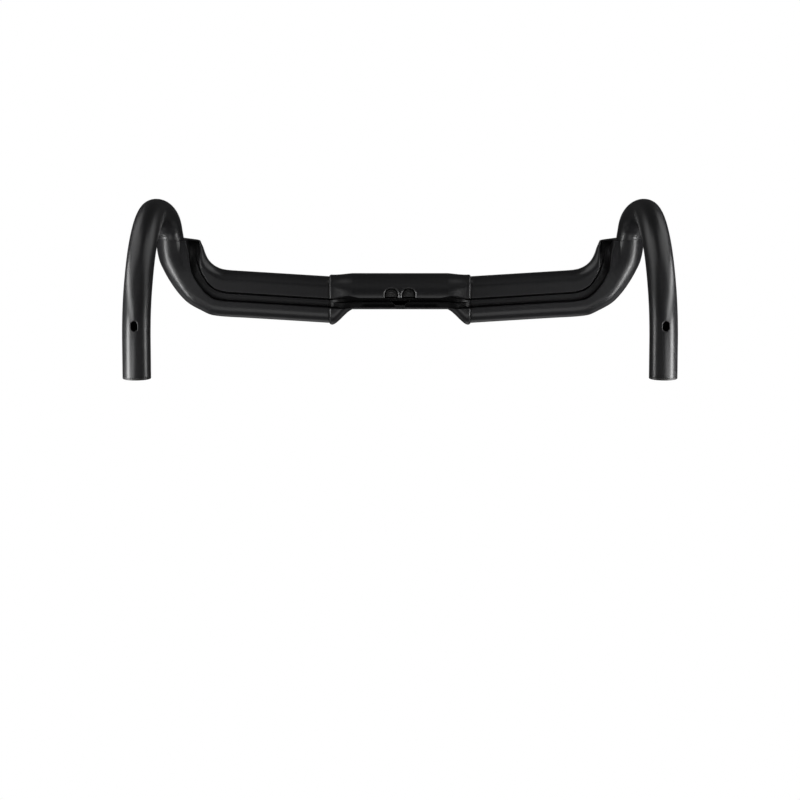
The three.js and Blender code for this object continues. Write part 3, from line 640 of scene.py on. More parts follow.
def make_centre():
    collar = COLLAR_X - COLLAR_CHAMFER * (1 - np.sin(np.linspace(0, np.pi / 2, 9)))
    xs = both_sides(stations(np.linspace(0, 34, 42), np.linspace(34, 60, 53)[1:], collar))
    xs_in = both_sides(stations(np.linspace(0, 40, 16), np.linspace(40, COLLAR_X, 20)))
    outer = [centre_ring(x) for x in xs]
    # Painted shade for the channel's recesses, carried on the grain.
    shade_masks = [painted_recess_shade(r[:, 2], centre_section(abs(x))[1].floor) for r, x in zip(outer, xs)]
    ob = shell("centre_moulding", outer, [centre_ring(x, 0.0) for x in xs_in], xs, xs_in, shade_masks)

    right = port()
    left = flipped(right)
    edge = rounded_line(FUNNEL_EDGE, 40)
    funnel = np.concatenate([edge, flipped(edge)])

    def port_distance(co):
        return np.minimum(*(poly_distance(p, co[:, 0], co[:, 1]) for p in (right, left)))

    def port_skin(co):
        x, y, z = co.T
        return (z < -13.3) & (np.abs(x) < 18) & (y > -3.3) & (y < 8)

    def funnel_skin(co):
        x, y, z = co.T
        return (z < -9.2) & (np.hypot(y, z) > 14.2) & (y < -6.9) & (y > -13.4) & (np.abs(x) < 12)

    roll_edge(ob, port_distance, port_skin, radius=0.6, push=(0, 0, 1), cuts=3, bead=0.3)
    roll_edge(ob, lambda co: poly_distance(funnel, co[:, 0], co[:, 1]), funnel_skin,
              radius=0.45, push=(0, 0, 1), cuts=3)
    cut(ob, [prism("cut_a", right, -20, -6), prism("cut_b", left, -20, -6),
             prism("cut_c", funnel, -20, -6.4)])
    soften(ob, 38)

    # Lay the grain by place, keeping the painted recess shade that came through the cuts.
    co = points_of(ob.data) / MM
    grain = np.zeros(len(co) * 3, np.float32)
    grain_layer(ob.data).data.foreach_get("vector", grain)
    grain = grain.reshape(-1, 3)
    grain[:, 0] = co[:, 0]
    grain[:, 1] = np.arctan2(co[:, 2], co[:, 1]) * CLAMP_R
    set_grain(ob.data, grain)
    return ob


# ---------------------------------------------------------------- port plug
PLUG_GAP, PLUG_LOW, PLUG_CROWN = 0.3, -3.0, 0.35
PLUG_EDGE = [                 # inset, z: from the outer face up to the inner end
    (2.3, -12.62), (1.75, -12.5), (1.25, -12.33), (0.85, -12.1), (0.5, -11.8), (0.22, -11.4),
    (0.05, -10.9), (0, -10.4), (0, -8.2), (0.1, -7.95), (0.35, -7.8)]


def make_port_plug():
    edge = []
    for inset, z in PLUG_EDGE:
        loop = port(-PLUG_GAP - inset, low=PLUG_LOW + inset)
        edge.append(np.column_stack([loop, np.full(len(loop), z)]))
    face, face_z, end_z = edge[0], PLUG_EDGE[0][1], PLUG_EDGE[-1][1]
    mid = face[:, :2].mean(0)
    crown = []                # domed outer face, from near its rim inwards
    for t in np.linspace(0, 1, 14)[-2:0:-1]:
        ring = face.copy()
        ring[:, :2] = mid + (ring[:, :2] - mid) * t
        ring[:, 2] = face_z - PLUG_CROWN * (1 - t * t)
        crown.append(ring)
    rows = crown + edge
    m, n = len(rows), len(face)
    verts = np.concatenate(rows + [[[*mid, face_z - PLUG_CROWN]], [[*mid, end_z]]])
    faces = []
    for k in range(m - 1):
        a, b = k * n, (k + 1) * n
        faces += [[a + i, a + (i + 1) % n, b + (i + 1) % n, b + i] for i in range(n)]
    for i in range(n):
        faces.append([m * n, (i + 1) % n, i])
        faces.append([m * n + 1, (m - 1) * n + i, (m - 1) * n + (i + 1) % n])
    ob = new_object("port_plug_body_right", verts, faces)
    bm = bmesh.new()
    bm.from_mesh(ob.data)
    bmesh.ops.remove_doubles(bm, verts=bm.verts, dist=1e-7)
    bmesh.ops.recalc_face_normals(bm, faces=bm.faces)
    bm.to_mesh(ob.data)
    bm.free()
    soften(ob, 42)
    return ob


# ---------------------------------------------------------------- wing
WING_OVERLAP = 0.14           # how far the wing starts inboard of its first station
WING_START_EDGE = [(0.0, 0.14), (0.05, 0.04), (0.12, 0)]       # distance along, inset
WING_END_EDGE = [(0.06, 0.015), (0.02, 0.05), (0.0, 0.11)]     # distance before end, inset


def make_wing():
    s3, s6, s8 = WING_S[3], WING_S[6], WING_S[8]
    main = stations(np.linspace(0, s3, 34), np.linspace(s3, s6, 44),
                    np.linspace(s6, WING_END - 0.3, 110))[1:]
    outer, along = [], []
    for d, inset in WING_START_EDGE:
        ring = wing_ring(0, shifted(wing_outer(0), inset))
        outer.append(ring + [d - WING_OVERLAP, 0, 0])
        along.append(d - WING_OVERLAP)
    for s in main:
        outer.append(wing_ring(s, wing_outer(s)))
        along.append(s)
    for d, inset in WING_END_EDGE:
        s = WING_END - d
        outer.append(wing_ring(s, shifted(wing_outer(s), inset)))
        along.append(s)
    along_in = stations(np.linspace(0, s3, 12), np.linspace(s3, WING_END, 60))
    inner = [wing_ring(s, wing_inner(s, WING_WALL)) for s in along_in]
    inner[0] = inner[0] - [WING_OVERLAP, 0, 0]
    shade_masks = []
    for ring, s in zip(outer, along):
        # The painted recess shade is eased off towards the bend.
        fade = float(1 - 0.45 * smooth((s - s6) / (s8 - s6)))
        shade_masks.append(painted_recess_shade(ring[:, 2], wing_station(max(s, 0))[2].floor) * fade)
    ob = shell("wing_moulding_right", outer, inner, along, along_in, shade_masks)
    soften(ob)
    return ob


# ---------------------------------------------------------------- drop path
BENDS = [(0, 50, 24.5), (50, 90, 34), (90, 130, 89), (130, 180 - END_DEG, 97.2)]  # deg, deg, r
# x of the path against the angle turned
side_x = table([0, 20, 45, 62, 80, 100, 125, 145, 165, 177],
               [TUBE_START[0] + 0.5, 202.1, 203.8, 206.5, 210.0, 213.4, 216.2, 218.0, 219.3,
                219.6])
END_DIR = np.array([0, -math.cos(math.radians(END_DEG)), -math.sin(math.radians(END_DEG))])
RAMP3, FACE3, CHORD3 = (np.array([*v, 0]) for v in (RAMP, FACE_OUT, CHORD))
TUBE_START3 = np.array([*TUBE_START, 0.0])
Frame = namedtuple("Frame", "s centre along normal side")


def path_knots():
    knots = [TUBE_START3]
    y, z = TUBE_START[1], 0.0
    for deg0, deg1, r in BENDS:
        n = round((deg1 - deg0) / 9)
        for i in range(1, n + 1):
            a, b = (math.radians(lerp(deg0, deg1, k / n)) for k in (i - 1, i))
            y += r * (math.sin(b) - math.sin(a))
            z -= r * (math.cos(a) - math.cos(b))
            knots.append(np.array([side_x(lerp(deg0, deg1, i / n)), y, z]))
    bend_end = knots[-1]
    return knots + [bend_end + END_DIR * DROP_STRAIGHT * k for k in (0.35, 0.7, 1)]


def catmull(points, per=24):
    """Centripetal spline through the points."""
    padded = [2 * points[0] - points[1]] + list(points) + [2 * points[-1] - points[-2]]
    out = []
    for i in range(len(points) - 1):
        p0, p1, p2, p3 = padded[i:i + 4]
        d0, d1, d2 = (math.sqrt(np.linalg.norm(b - a)) for a, b in ((p0, p1), (p1, p2), (p2, p3)))
        t1 = ((p1 - p0) / d0 - (p2 - p0) / (d0 + d1) + (p2 - p1) / d1) * d1
        t2 = ((p2 - p1) / d1 - (p3 - p1) / (d1 + d2) + (p3 - p2) / d2) * d1
        for t in np.arange(per) / per:
            out.append(p1 + t1 * t + (-3 * p1 + 3 * p2 - 2 * t1 - t2) * t * t
                       + (2 * p1 - 2 * p2 + t1 + t2) * t ** 3)
    out.append(points[-1])
    return np.array(out)


def even_out(path, pad=60):
    """Evens out the change of curvature between the bends; both ends stay put."""
    before = path[0] + (path[0] - path[1:pad + 1])[::-1]
    after = path[-1] + (path[-1] - path[-pad - 1:-1])[::-1]
    padded = np.concatenate([before, path, after])
    w = np.exp(-0.5 * (np.arange(-18, 19) / 7.0) ** 2)
    w /= w.sum()
    return np.column_stack([np.convolve(c, w, "same") for c in padded.T])[pad:-pad]


knots = path_knots()
TUBE_END = knots[-1]
fine = catmull(knots)
arc = np.concatenate([[0], np.cumsum(np.linalg.norm(np.diff(fine, axis=0), axis=1))])
DROP_LEN = arc[-1]
PATH_STEP = 0.5
PATH_S = np.linspace(0, DROP_LEN, int(DROP_LEN / PATH_STEP) + 1)
PATH = even_out(np.column_stack([np.interp(PATH_S, arc, c) for c in fine.T]))


def path_at(s):
    return np.array([np.interp(s, PATH_S, c) for c in PATH.T])


def frames_at(places):
    """Frames carried along the path; the normal starts straight up."""
    out, normal = [], np.array([0, 0, 1.0])
    for s in places:
        t = path_at(s + 0.6) - path_at(s - 0.6)
        t /= np.linalg.norm(t)
        if s < 8:
            t = lerp(RAMP3, t, float(smooth(s / 8)))
            t /= np.linalg.norm(t)
        if s > DROP_LEN - 1:
            t = END_DIR
        normal = normal - t * (normal @ t)
        normal /= np.linalg.norm(normal)
        out.append(Frame(s, path_at(s), t, normal.copy(), np.cross(t, normal)))
    return out


def tube(frames, radii, n, slant=False, offsets=0.0):
    """Rings on the frames; slant turns the first ones to the oblique joint face."""
    turn = 2 * np.pi * np.arange(n) / n
    radii, offsets = (np.broadcast_to(v, len(frames)) for v in (radii, offsets))
    rings = []
    for f, r, offset in zip(frames, radii, offsets):
        fade = max(0, 1 - f.s / SLANT_LEN) if slant else 0
        lean = (CHORD3 @ f.along) / (CHORD3 @ f.side) * fade
        v = r * np.sin(turn)
        ring = f.centre + np.outer(r * np.cos(turn), f.normal) + np.outer(v, f.side)
        ring = ring + np.outer(v * lean, f.along) + FACE3 * JOINT_GAP * fade
        rings.append(ring + f.normal * offset)
    return rings


# ---------------------------------------------------------------- drop moulding
HOLE_PITCH_DEG, HOLE_ROLL_DEG = END_DEG + 4, -2.4
HOLE_CENTRE = TUBE_END - END_DIR * HOLE_FROM_END + [0.5, 0, -6.2]
END_ROUND, END_ROUND_DEPTH = 0.3, 0.12      # rounding of the tube's two ends: length, depth


def turn_x(a):
    c, s = math.cos(a), math.sin(a)
    return np.array([[1, 0, 0], [0, c, -s], [0, s, c]])


def turn_y(a):
    c, s = math.cos(a), math.sin(a)
    return np.array([[c, 0, s], [0, 1, 0], [-s, 0, c]])


def cut_wire_hole(ob):
    """Oval hole in the underside of the drop."""
    turn = turn_y(math.radians(HOLE_ROLL_DEG)) @ turn_x(math.radians(HOLE_PITCH_DEG))
    r, straight = HOLE_W / 2, (HOLE_L - HOLE_W) / 2
    t = np.linspace(0, np.pi, 26)
    cap = np.column_stack([r * np.cos(t), straight + r * np.sin(t)])
    oval = np.concatenate([cap, -cap])

    def local(co):
        return (co - HOLE_CENTRE) @ turn

    def skin(co):
        x, y, z = local(co).T
        near = np.linalg.norm(co - HOLE_CENTRE, axis=1) < 11
        return near & (z < -2.0) & (z > -7) & (np.hypot(x, y * 0.9) < 9)

    roll_edge(ob, lambda co: poly_distance(oval, *local(co)[:, :2].T), skin,
              radius=0.5, push=tuple(turn @ [0, 0, 1]), cuts=2)
    hole = prism("cut_hole", oval, -8, 0)
    place(hole, turn, HOLE_CENTRE)
    cut(ob, [hole])


def make_drop():
    ts = stations([0, 0.06, 0.16, 0.3], np.linspace(0.6, DROP_LEN - 0.5, 300),
                  [DROP_LEN - 0.3, DROP_LEN - 0.16, DROP_LEN - 0.06, DROP_LEN])
    t = np.maximum(0, 1 - np.minimum(ts, DROP_LEN - ts) / END_ROUND)
    radii = TUBE_R - END_ROUND_DEPTH * (1 - np.sqrt(np.maximum(0, 1 - t ** 2)))
    ts_in = stations(np.linspace(0, DROP_LEN, 120))
    outer = tube(frames_at(ts), radii, 96, slant=True)
    inner = tube(frames_at(ts_in), TUBE_R - TUBE_WALL, 96, slant=True)
    ob = shell("drop_moulding_right", outer, inner, ts, ts_in)
    cut_wire_hole(ob)
    soften(ob)

    # Lay the grain again from the nearest frame of the path.
    co = points_of(ob.data) / MM
    frames = frames_at(np.linspace(0, DROP_LEN, 420))
    s, centre, along, normal, side = (np.array(v) for v in zip(*frames))
    best = np.concatenate([np.argmin(((part[:, None] - centre[None]) ** 2).sum(2), 1)
                           for part in np.array_split(co, 40)])
    d = co - centre[best]
    round_tube = np.arctan2((d * side[best]).sum(1), (d * normal[best]).sum(1)) * TUBE_R
    lengthwise = s[best] + (d * along[best]).sum(1)
    set_grain(ob.data, np.stack([lengthwise, round_tube, np.zeros(len(co))], 1))
    return ob


# ---------------------------------------------------------------- ferrules and wire guide inside
def make_wing_ferrule():
    """Sleeve across the joint of the centre moulding and the wing."""
    xs = [57, 58.5, COLLAR_X - COLLAR_CHAMFER, WING_X, 64, 67, 70, 73, 76]

    def ring(x, clearance):
        if x < WING_X:
            return centre_ring(x, clearance)
        s = x - WING_X
        return wing_ring(s, wing_inner(s, WING_WALL + clearance))

    ob = shell("wing_ferrule_sleeve_right", [ring(x, 0.5) for x in xs],
               [ring(x, 1.8) for x in xs], xs, xs)
    soften(ob)
    return ob


def make_drop_ferrule():
    """Sleeve across the joint of the wing and the drop."""
    up = np.array([0, 0, 1.0])
    frames = [Frame(d, TUBE_START3 + RAMP3 * d, RAMP3, up, np.cross(RAMP3, up))
              for d in np.linspace(-11, 0, 8)]
    frames += frames_at(np.linspace(2, 12, 8))
    along = [f.s for f in frames]
    ob = shell("drop_ferrule_sleeve_right", tube(frames, 9.3, 64), tube(frames, 7.9, 64),
               along, along)
    soften(ob)
    return ob


def make_wire_guide():
    """Thin liner from the tube's axis over to the side of the wire hole."""
    along = np.linspace(5, DROP_LEN - HOLE_FROM_END - 9, 140)
    frames = frames_at(along)
    offsets = 4.6 * smooth(np.linspace(0, 1, len(along)))
    outer, inner = (tube(frames, r, 24, offsets=offsets) for r in (2.6, 1.8))
    ob = shell("wire_guide_right", outer, inner, along, along)
    soften(ob)
    return ob


# ---------------------------------------------------------------- end plug, turned parts
# Turned round Z with z = 0 on the tube's end and +z outwards: r, z, rounding.
CAP_FACE_Z = 0.3 + FLANGE_T
CAP = [
    (2.3, -6, 0.1), (9.4, -6, 0.2), (9.5, -5.6, 0.2), (9.5, 0.16, 0.15), (TUBE_R, 0.16, 0.14),
    (TUBE_R, 1.5, 0.35), (11.5, CAP_FACE_Z, 0.35), (4.9, CAP_FACE_Z, 0.2), (4.6, 1.6, 0.2),
    (4.6, -1.2, 0.1), (2.3, -1.2, 0.1)]
SLEEVE = [(5.6, -6.4, 0.15), (9.4, -6.4, 0.3), (9.4, -19, 0.4), (8.3, -19, 0.1), (5.6, -11.5, 0.1)]
WEDGE = [(2.3, -10.6, 0.15), (4.9, -10.6, 0.15), (4.95, -11.2, 0.1), (7.75, -19, 0.2),
         (7.75, -21.5, 0.3), (2.3, -21.5, 0.15)]
THREAD_R, THREAD_ROOT_R, THREAD_PITCH = 1.9, 1.56, 0.7
HEX_R = 2.3


def make_sleeve():
    ob = lathe("sleeve_right", rounded_loop(SLEEVE))
    slots = []                # two crossed slots through the inner end
    for k in range(2):
        a = math.pi / 4 + k * math.pi / 2
        c, s = math.cos(a), math.sin(a)
        corners = [(-12, -0.6), (12, -0.6), (12, 0.6), (-12, 0.6)]
        slot = [(c * x - s * y, s * x + c * y) for x, y in corners]
        slots.append(prism(f"cut_slot_{k}", slot, -20, -11))
    cut(ob, slots)
    return ob


def make_screw():
    profile = [(0, -23), (1.6, -23), (THREAD_R, -22.6)]
    for z in np.arange(-22.4, -9.5, THREAD_PITCH):
        profile += [(THREAD_R, z), (THREAD_R, z + 0.12), (THREAD_ROOT_R, z + 0.35),
                    (THREAD_R, z + 0.58)]
    profile += [(THREAD_R, -0.9), (4.05, -0.9), (4.2, -0.75), (4.2, 1.15), (4.1, 1.38),
                (3.8, 1.6), (0, 1.6)]
    ob = lathe("screw_right", profile, 64)
    hexagon = [(HEX_R * math.cos(k * math.pi / 3), HEX_R * math.sin(k * math.pi / 3))
               for k in range(6)]
    cut(ob, [prism("cut_hex", hexagon, -0.1, 4)])
    return ob


def make_end_plug():
    parts = [lathe("end_cap_right", rounded_loop(CAP), 128), make_sleeve(),
             lathe("wedge_right", rounded_loop(WEDGE)), make_screw()]
    for ob in parts:
        place(ob, turn_x(math.pi / 2 + math.radians(END_DEG)), TUBE_END)
        soften(ob, 35)
    return parts


# ---------------------------------------------------------------- materials
class Nodes:
    """Wires the shader nodes of a material or world by calls."""

    def __init__(self, owner, output="ShaderNodeOutputMaterial"):
        owner.use_nodes = True
        self.owner, self.tree = owner, owner.node_tree
        self.tree.nodes.clear()
        self.output = self.tree.nodes.new(output)

    def put(self, socket, value):
        if isinstance(value, bpy.types.NodeSocket):
            self.tree.links.new(value, socket)
        else:
            socket.default_value = value

    def new(self, kind, inputs=None, **attrs):
        n = self.tree.nodes.new(kind)
        for k, v in attrs.items():
            setattr(n, k, v)
        for k, v in (inputs or {}).items():
            self.put(n.inputs[k], v)
        return n

    def node(self, kind, inputs=None, out=0, **attrs):
        return self.new(kind, inputs, **attrs).outputs[out]

    def math(self, op, a, b=0.0):
        return self.node("ShaderNodeMath", {0: a, 1: b, 2: 0.0}, operation=op)

    def add(self, a, b):
        return self.math("ADD", a, b)

    def sub(self, a, b):
        return self.math("SUBTRACT", a, b)

    def mul(self, a, b):
        return self.math("MULTIPLY", a, b)

    def position(self):
        return self.node("ShaderNodeTexCoord", out="Object")

    def noise(self, vector, scale, detail=2.0, rough=0.5):
        return self.node("ShaderNodeTexNoise", {"Vector": vector, "Scale": scale,
                                                "Detail": detail, "Roughness": rough})

    def ramp(self, value, lo, hi, to_lo=0.0, to_hi=1.0):
        return self.node("ShaderNodeMapRange", {"Value": value, "From Min": lo, "From Max": hi,
                                                "To Min": to_lo, "To Max": to_hi})

    def edges(self, lo, hi=0.6):
        """1 on convex edges, 0 on flat skin."""
        return self.ramp(self.node("ShaderNodeNewGeometry", out="Pointiness"), lo, hi)

    def mix(self, factor, a, b):
        return self.node("ShaderNodeMix", {0: factor, 6: a, 7: b}, out=2, data_type="RGBA")

    def bump(self, height, strength, distance):
        return self.node("ShaderNodeBump", {"Strength": strength, "Distance": distance,
                                            "Height": height})

    def show(self, shader):
        self.put(self.output.inputs[0], shader)
        return self.owner

    def finish(self, **inputs):
        named = {k.replace("_", " "): v for k, v in inputs.items()}
        return self.show(self.node("ShaderNodeBsdfPrincipled", named))


def new_material(name):
    return Nodes(bpy.data.materials.new(name))


def grey(v):
    return (v, v, v, 1)


def carbon_material():
    """Dark 2/2 twill under a satin coat, worn a little at the edges, with painted shade in the
    recesses.
    """
    tows_per_mm = 0.442       # tows 1.6 mm wide, at 45 degrees to the grain
    tone, tone_over, tone_patch, blue = 0.0105, 0.0009, 0.004, 1.08
    gloss, gloss_lost = 0.5, 0.44             # on the skin, and what the recesses lose
    rough, rough_cloud, rough_over, rough_edge, rough_inside = 0.305, 0.07, 0.012, -0.05, 0.22
    fine_share, cloud_share, weave_share = 0.5, 0.8, 0.35      # parts of the bump height

    m = new_material("satin_carbon")
    grain = m.node("ShaderNodeAttribute", out="Vector", attribute_name="grain")
    # inside is the painted recess shade, carried as the grain's third part.
    u, v, inside = m.new("ShaderNodeSeparateXYZ", {0: grain}).outputs
    a, b = m.mul(m.add(u, v), tows_per_mm), m.mul(m.sub(u, v), tows_per_mm)
    cell = m.add(m.math("FLOOR", a), m.math("FLOOR", b))
    over = m.math("LESS_THAN", m.math("FRACT", m.mul(cell, 0.25)), 0.5)
    off_a, off_b = (m.math("ABSOLUTE", m.sub(m.math("FRACT", w), 0.5)) for w in (a, b))
    crown = m.sub(0.5, m.add(m.mul(over, off_a), m.mul(m.sub(1.0, over), off_b)))

    pos = m.position()
    patch = m.noise(pos, scale=60, detail=3)
    fine_grain = m.noise(pos, scale=5200, detail=2, rough=0.6)
    cloud = m.noise(pos, scale=420, detail=3, rough=0.6)
    broken = m.ramp(m.noise(pos, scale=900, detail=4, rough=0.7), lo=0.38, hi=0.62, to_lo=0.35)
    edge = m.mul(m.edges(lo=0.515), broken)

    shade = m.add(tone, m.add(m.mul(over, tone_over), m.mul(m.sub(patch, 0.5), tone_patch)))
    weave = m.node("ShaderNodeCombineColor", {0: shade, 1: shade, 2: m.mul(shade, blue)})
    colour = m.mix(m.mul(edge, 0.55), weave, grey(0.05))
    # Painted shade: the recesses are darkened almost to black.
    colour = m.mix(m.mul(inside, 0.85), colour, grey(0.003))
    skin = m.add(m.mul(over, rough_over), m.mul(edge, rough_edge))
    skin = m.add(rough, m.add(m.mul(m.sub(cloud, 0.5), rough_cloud), skin))
    height = m.add(m.mul(cloud, cloud_share), m.mul(crown, weave_share))
    height = m.add(m.mul(fine_grain, fine_share), height)
    return m.finish(Base_Color=colour, Roughness=m.add(skin, m.mul(inside, rough_inside)),
                    Normal=m.bump(height, strength=0.07, distance=0.00005), IOR=1.5,
                    Specular_IOR_Level=m.sub(gloss, m.mul(inside, gloss_lost)))


def worn_surface(m, tint, relief, stain, low, high, worn, worn_from, wear, rough, rough_spread,
                 strength, distance, **more):
    """Grey from low to high by tint, paler at the edges; stain varies the roughness."""
    edge = m.mul(m.edges(lo=worn_from), wear)
    colour = m.mix(edge, m.mix(tint, grey(low), grey(high)), grey(worn))
    return m.finish(Base_Color=colour, Roughness=m.add(rough, m.mul(stain, rough_spread)),
                    Normal=m.bump(relief, strength, distance), **more)


def rubber_material():
    m = new_material("moulded_rubber")
    pos = m.position()
    relief = m.noise(pos, scale=1800, detail=3, rough=0.6)
    blotch = m.noise(pos, scale=160)
    return worn_surface(m, tint=blotch, relief=relief, stain=blotch, low=0.013, high=0.02,
                        worn=0.04, worn_from=0.52, wear=0.5, rough=0.6, rough_spread=0.14,
                        strength=0.3, distance=0.00006)


def nylon_material(name, low, high, rough):
    m = new_material(name)
    pos = m.position()
    relief = m.noise(pos, scale=2600, rough=0.6)
    blotch = m.noise(pos, scale=220, detail=3)
    return worn_surface(m, tint=blotch, relief=relief, stain=blotch, low=low, high=high,
                        worn=high * 2.2, worn_from=0.515, wear=0.5, rough=rough,
                        rough_spread=0.1, strength=0.22, distance=0.00005)


def metal_material(name, low, high, rough):
    m = new_material(name)
    pos = m.position()
    squeezed = m.node("ShaderNodeMapping", {"Vector": pos, "Scale": (0.15, 6.0, 0.15)})
    turned = m.noise(squeezed, scale=900, rough=0.6)
    stain = m.noise(pos, scale=300, detail=3)
    return worn_surface(m, tint=turned, relief=turned, stain=stain, low=low, high=high,
                        worn=high * 1.5, worn_from=0.515, wear=0.6, rough=rough,
                        rough_spread=0.15, strength=0.15, distance=0.00003, Metallic=1.0)


# ---------------------------------------------------------------- pieces into the frame
centre = make_centre()
plug, wing, drop = make_port_plug(), make_wing(), make_drop()
wing_ferrule, drop_ferrule = make_wing_ferrule(), make_drop_ferrule()
guide = make_wire_guide()
cap, sleeve, wedge, screw = make_end_plug()

MATERIALS = {
    "carbon": carbon_material(),
    "soft_rubber": rubber_material(),
    "plug_nylon": nylon_material("plug_nylon_mat", low=0.017, high=0.025, rough=0.42),
    "liner_nylon": nylon_material("liner_nylon_mat", low=0.5, high=0.6, rough=0.38),
    "bonding_alloy": metal_material("turned_alloy", low=0.45, high=0.6, rough=0.26),
    "screw_steel": metal_material("black_steel", low=0.06, high=0.11, rough=0.28)}

SIDE_PIECES = [               # right piece, what it replaces, what it rides on, slot
    (plug, "port_plug", "port_plug", "soft_rubber"),
    (wing, "wing", None, "carbon"),
    (wing_ferrule, "wing_ferrule", None, "bonding_alloy"),
    (drop, "drop", None, "carbon"),
    (drop_ferrule, "drop_ferrule", None, "bonding_alloy"),
    (guide, "wire_liner", None, "liner_nylon"),
    (cap, "end_plug_cap", "end_plug", "plug_nylon"),
    (sleeve, "expander_sleeve", "end_plug", "soft_rubber"),
    (wedge, "expander_wedge", "plug_wedge", "bonding_alloy"),
    (screw, "expander_screw", "plug_screw", "screw_steel")]


def hand_over(ob, replaced, carrier, slot):
    ob.data.transform(Matrix.Translation((0, 0, -FRAME_TOP * MM)))
    ob.data.materials.clear()     # cutting may leave empty slots
    ob.data.materials.append(MATERIALS[slot])
    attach(ob, carrier)
    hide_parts(replaced)


hand_over(centre, "centre_section", "bar", "carbon")
for right, replaced, carrier, slot in SIDE_PIECES:
    left = mirror_x(right, right.name.replace("_right", "_left"))
    for ob, side in ((right, "right"), (left, "left")):
        rides_on = f"{side}_{carrier}" if carrier else "bar"
        hand_over(ob, f"{replaced}_{side}", rides_on, slot)


# ---------------------------------------------------------------- stage, metres
FLOOR_HALF, FLOOR_GAP = 12.0, 0.0006


def floor_material():
    """Pale floor that only the camera sees, and only from its front."""
    m = new_material("pale_floor")
    camera_ray = m.node("ShaderNodeLightPath", out="Is Camera Ray")
    back = m.node("ShaderNodeNewGeometry", out="Backfacing")
    seen = m.mul(camera_ray, m.sub(1.0, back))
    diffuse = m.node("ShaderNodeBsdfDiffuse", {"Color": grey(0.1)})
    clear = m.node("ShaderNodeBsdfTransparent")
    glow = m.node("ShaderNodeEmission", {"Color": grey(1), "Strength": 0.74})
    pale = m.node("ShaderNodeAddShader", {0: diffuse, 1: glow})
    return m.show(m.node("ShaderNodeMixShader", {0: seen, 1: clear, 2: pale}))


def make_floor():
    me = bpy.data.meshes.new("floor")
    z = cad_box[0][2] - FLOOR_GAP
    corners = [(-1, -1), (1, -1), (1, 1), (-1, 1)]
    me.from_pydata([(x * FLOOR_HALF, y * FLOOR_HALF, z) for x, y in corners], [], [(0, 1, 2, 3)])
    floor = bpy.data.objects.new("floor", me)
    SCENE.collection.objects.link(floor)
    me.materials.append(floor_material())


def make_world():
    """White to the camera, dim to everything else."""
    SCENE.world = bpy.data.worlds.new("studio")
    w = Nodes(SCENE.world, "ShaderNodeOutputWorld")
    white = w.node("ShaderNodeBackground", {"Color": grey(1)})
    dim = w.node("ShaderNodeBackground", {"Color": grey(0.042)})
    camera_ray = w.node("ShaderNodeLightPath", out="Is Camera Ray")
    w.show(w.node("ShaderNodeMixShader", {0: camera_ray, 1: dim, 2: white}))


# The camera looks up from below, tilted 10 degrees.
CAMERA_TILT, CAMERA_DISTANCE = math.radians(10), 2.3
COS_TILT, SIN_TILT = math.cos(CAMERA_TILT), math.sin(CAMERA_TILT)
TO_CAMERA, CAMERA_UP = Vector((0, SIN_TILT, -COS_TILT)), Vector((0, COS_TILT, SIN_TILT))
AIM = Vector((0, 0.01, -0.076))

# Angle from the camera axis, angle from image-up, radiance.
BOXES = [(76, 60, 1.1), (76, 30, 1.0), (40, 120, 0.15), (45, 180, 1.25), (35, 0, 0.18),
         (95, 42, 0.6), (110, 45, 0.8), (111, 135, 0.5), (124, 180, 0.8)]
BOX_DISTANCE, BOX_SIZE = 1.6, (0.85, 0.85)
# Strips near each drop: name, the two angles, y aimed at, size, radiance.
STRIPS = [("strip_60", 64, 60, -0.02, (0.036, 0.34), 8.0),
          ("strip_120", 64, 120, -0.02, (0.036, 0.34), 4.0),
          ("edge_62", 62, 90, -0.14, (0.28, 0.06), 14.0)]
STRIP_DISTANCE, STRIP_X, STRIP_Z = 0.17, 0.219, -0.13


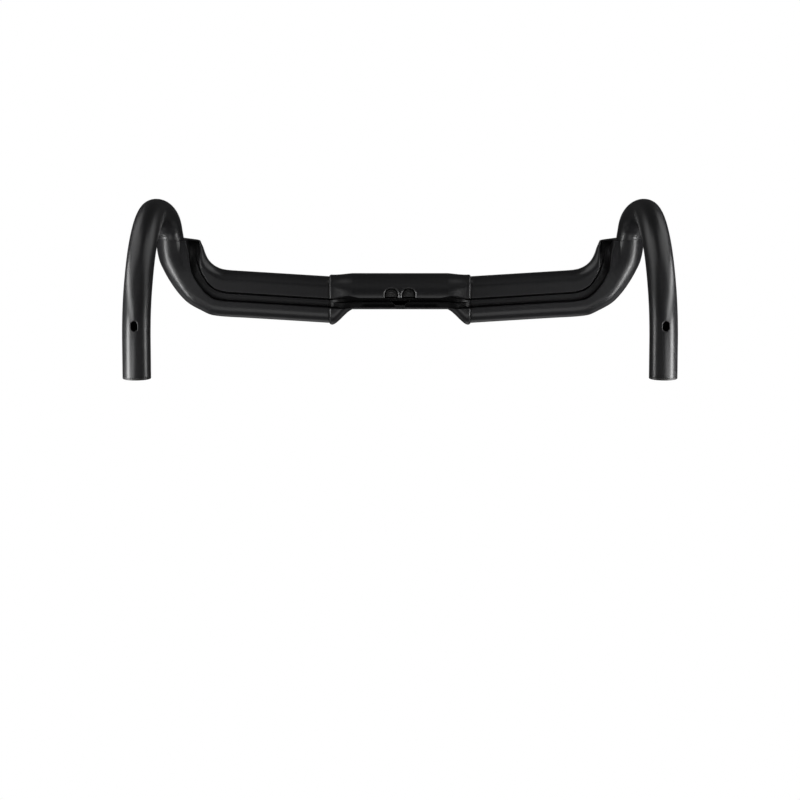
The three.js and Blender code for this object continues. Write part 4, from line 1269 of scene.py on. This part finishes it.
def softbox(name, direction, distance, size, radiance, aim=AIM):
    """Rectangular soft light. Width lies along the frame's X as far as it can."""
    width, height = size
    light = bpy.data.lights.new(name, "AREA")
    light.shape = "RECTANGLE"
    light.size, light.size_y = width, height
    light.energy = radiance * math.pi * width * height
    ob = bpy.data.objects.new(name, light)
    SCENE.collection.objects.link(ob)
    direction = Vector(direction).normalized()
    ob.location = aim + direction * distance
    ob.rotation_mode = "QUATERNION"
    ob.rotation_quaternion = direction.to_track_quat("Z", "Y")
    ob.visible_camera = False


def towards(off_axis, off_up, side):
    """Direction off the camera axis, turned from image-up to +X (side 1) or -X (side -1)."""
    a, b = math.radians(off_axis), math.radians(off_up)
    across = CAMERA_UP * math.cos(b) + Vector((1, 0, 0)) * side * math.sin(b)
    return TO_CAMERA * math.cos(a) + across * math.sin(a)


def make_lights():
    sides = (("right", 1), ("left", -1))
    for off_axis, off_up, radiance in BOXES:
        # a box on the middle plane is made once
        for side, sign in sides[:1] if off_up in (0, 180) else sides:
            softbox(f"box_{off_axis}_{off_up}_{side}", towards(off_axis, off_up, sign),
                    BOX_DISTANCE, BOX_SIZE, radiance)
    for name, off_axis, off_up, y, size, radiance in STRIPS:
        for side, sign in sides:
            softbox(f"{name}_{side}", towards(off_axis, off_up, sign), STRIP_DISTANCE, size,
                    radiance, aim=Vector((STRIP_X * sign, y, STRIP_Z)))
    softbox("overhead", (0, -0.17, 0.98), distance=1.8, size=(0.6, 0.6), radiance=0.9)


def make_camera():
    data = bpy.data.cameras.new("camera")
    data.sensor_width = 36
    data.lens = 117.9
    data.shift_y = -0.135975
    data.clip_start, data.clip_end = 0.05, 60
    camera = bpy.data.objects.new("camera", data)
    SCENE.collection.objects.link(camera)
    camera.location = (0, CAMERA_DISTANCE * SIN_TILT,
                       -CAMERA_DISTANCE * COS_TILT - FRAME_TOP * MM)
    camera.rotation_mode = "QUATERNION"
    axes = Matrix((CAMERA_UP.cross(TO_CAMERA), CAMERA_UP, TO_CAMERA)).transposed()
    camera.rotation_quaternion = axes.to_quaternion()
    SCENE.camera = camera


make_floor()
make_world()
make_lights()
make_camera()
SCENE.view_settings.view_transform = "Standard"
SCENE.view_settings.look = "None"
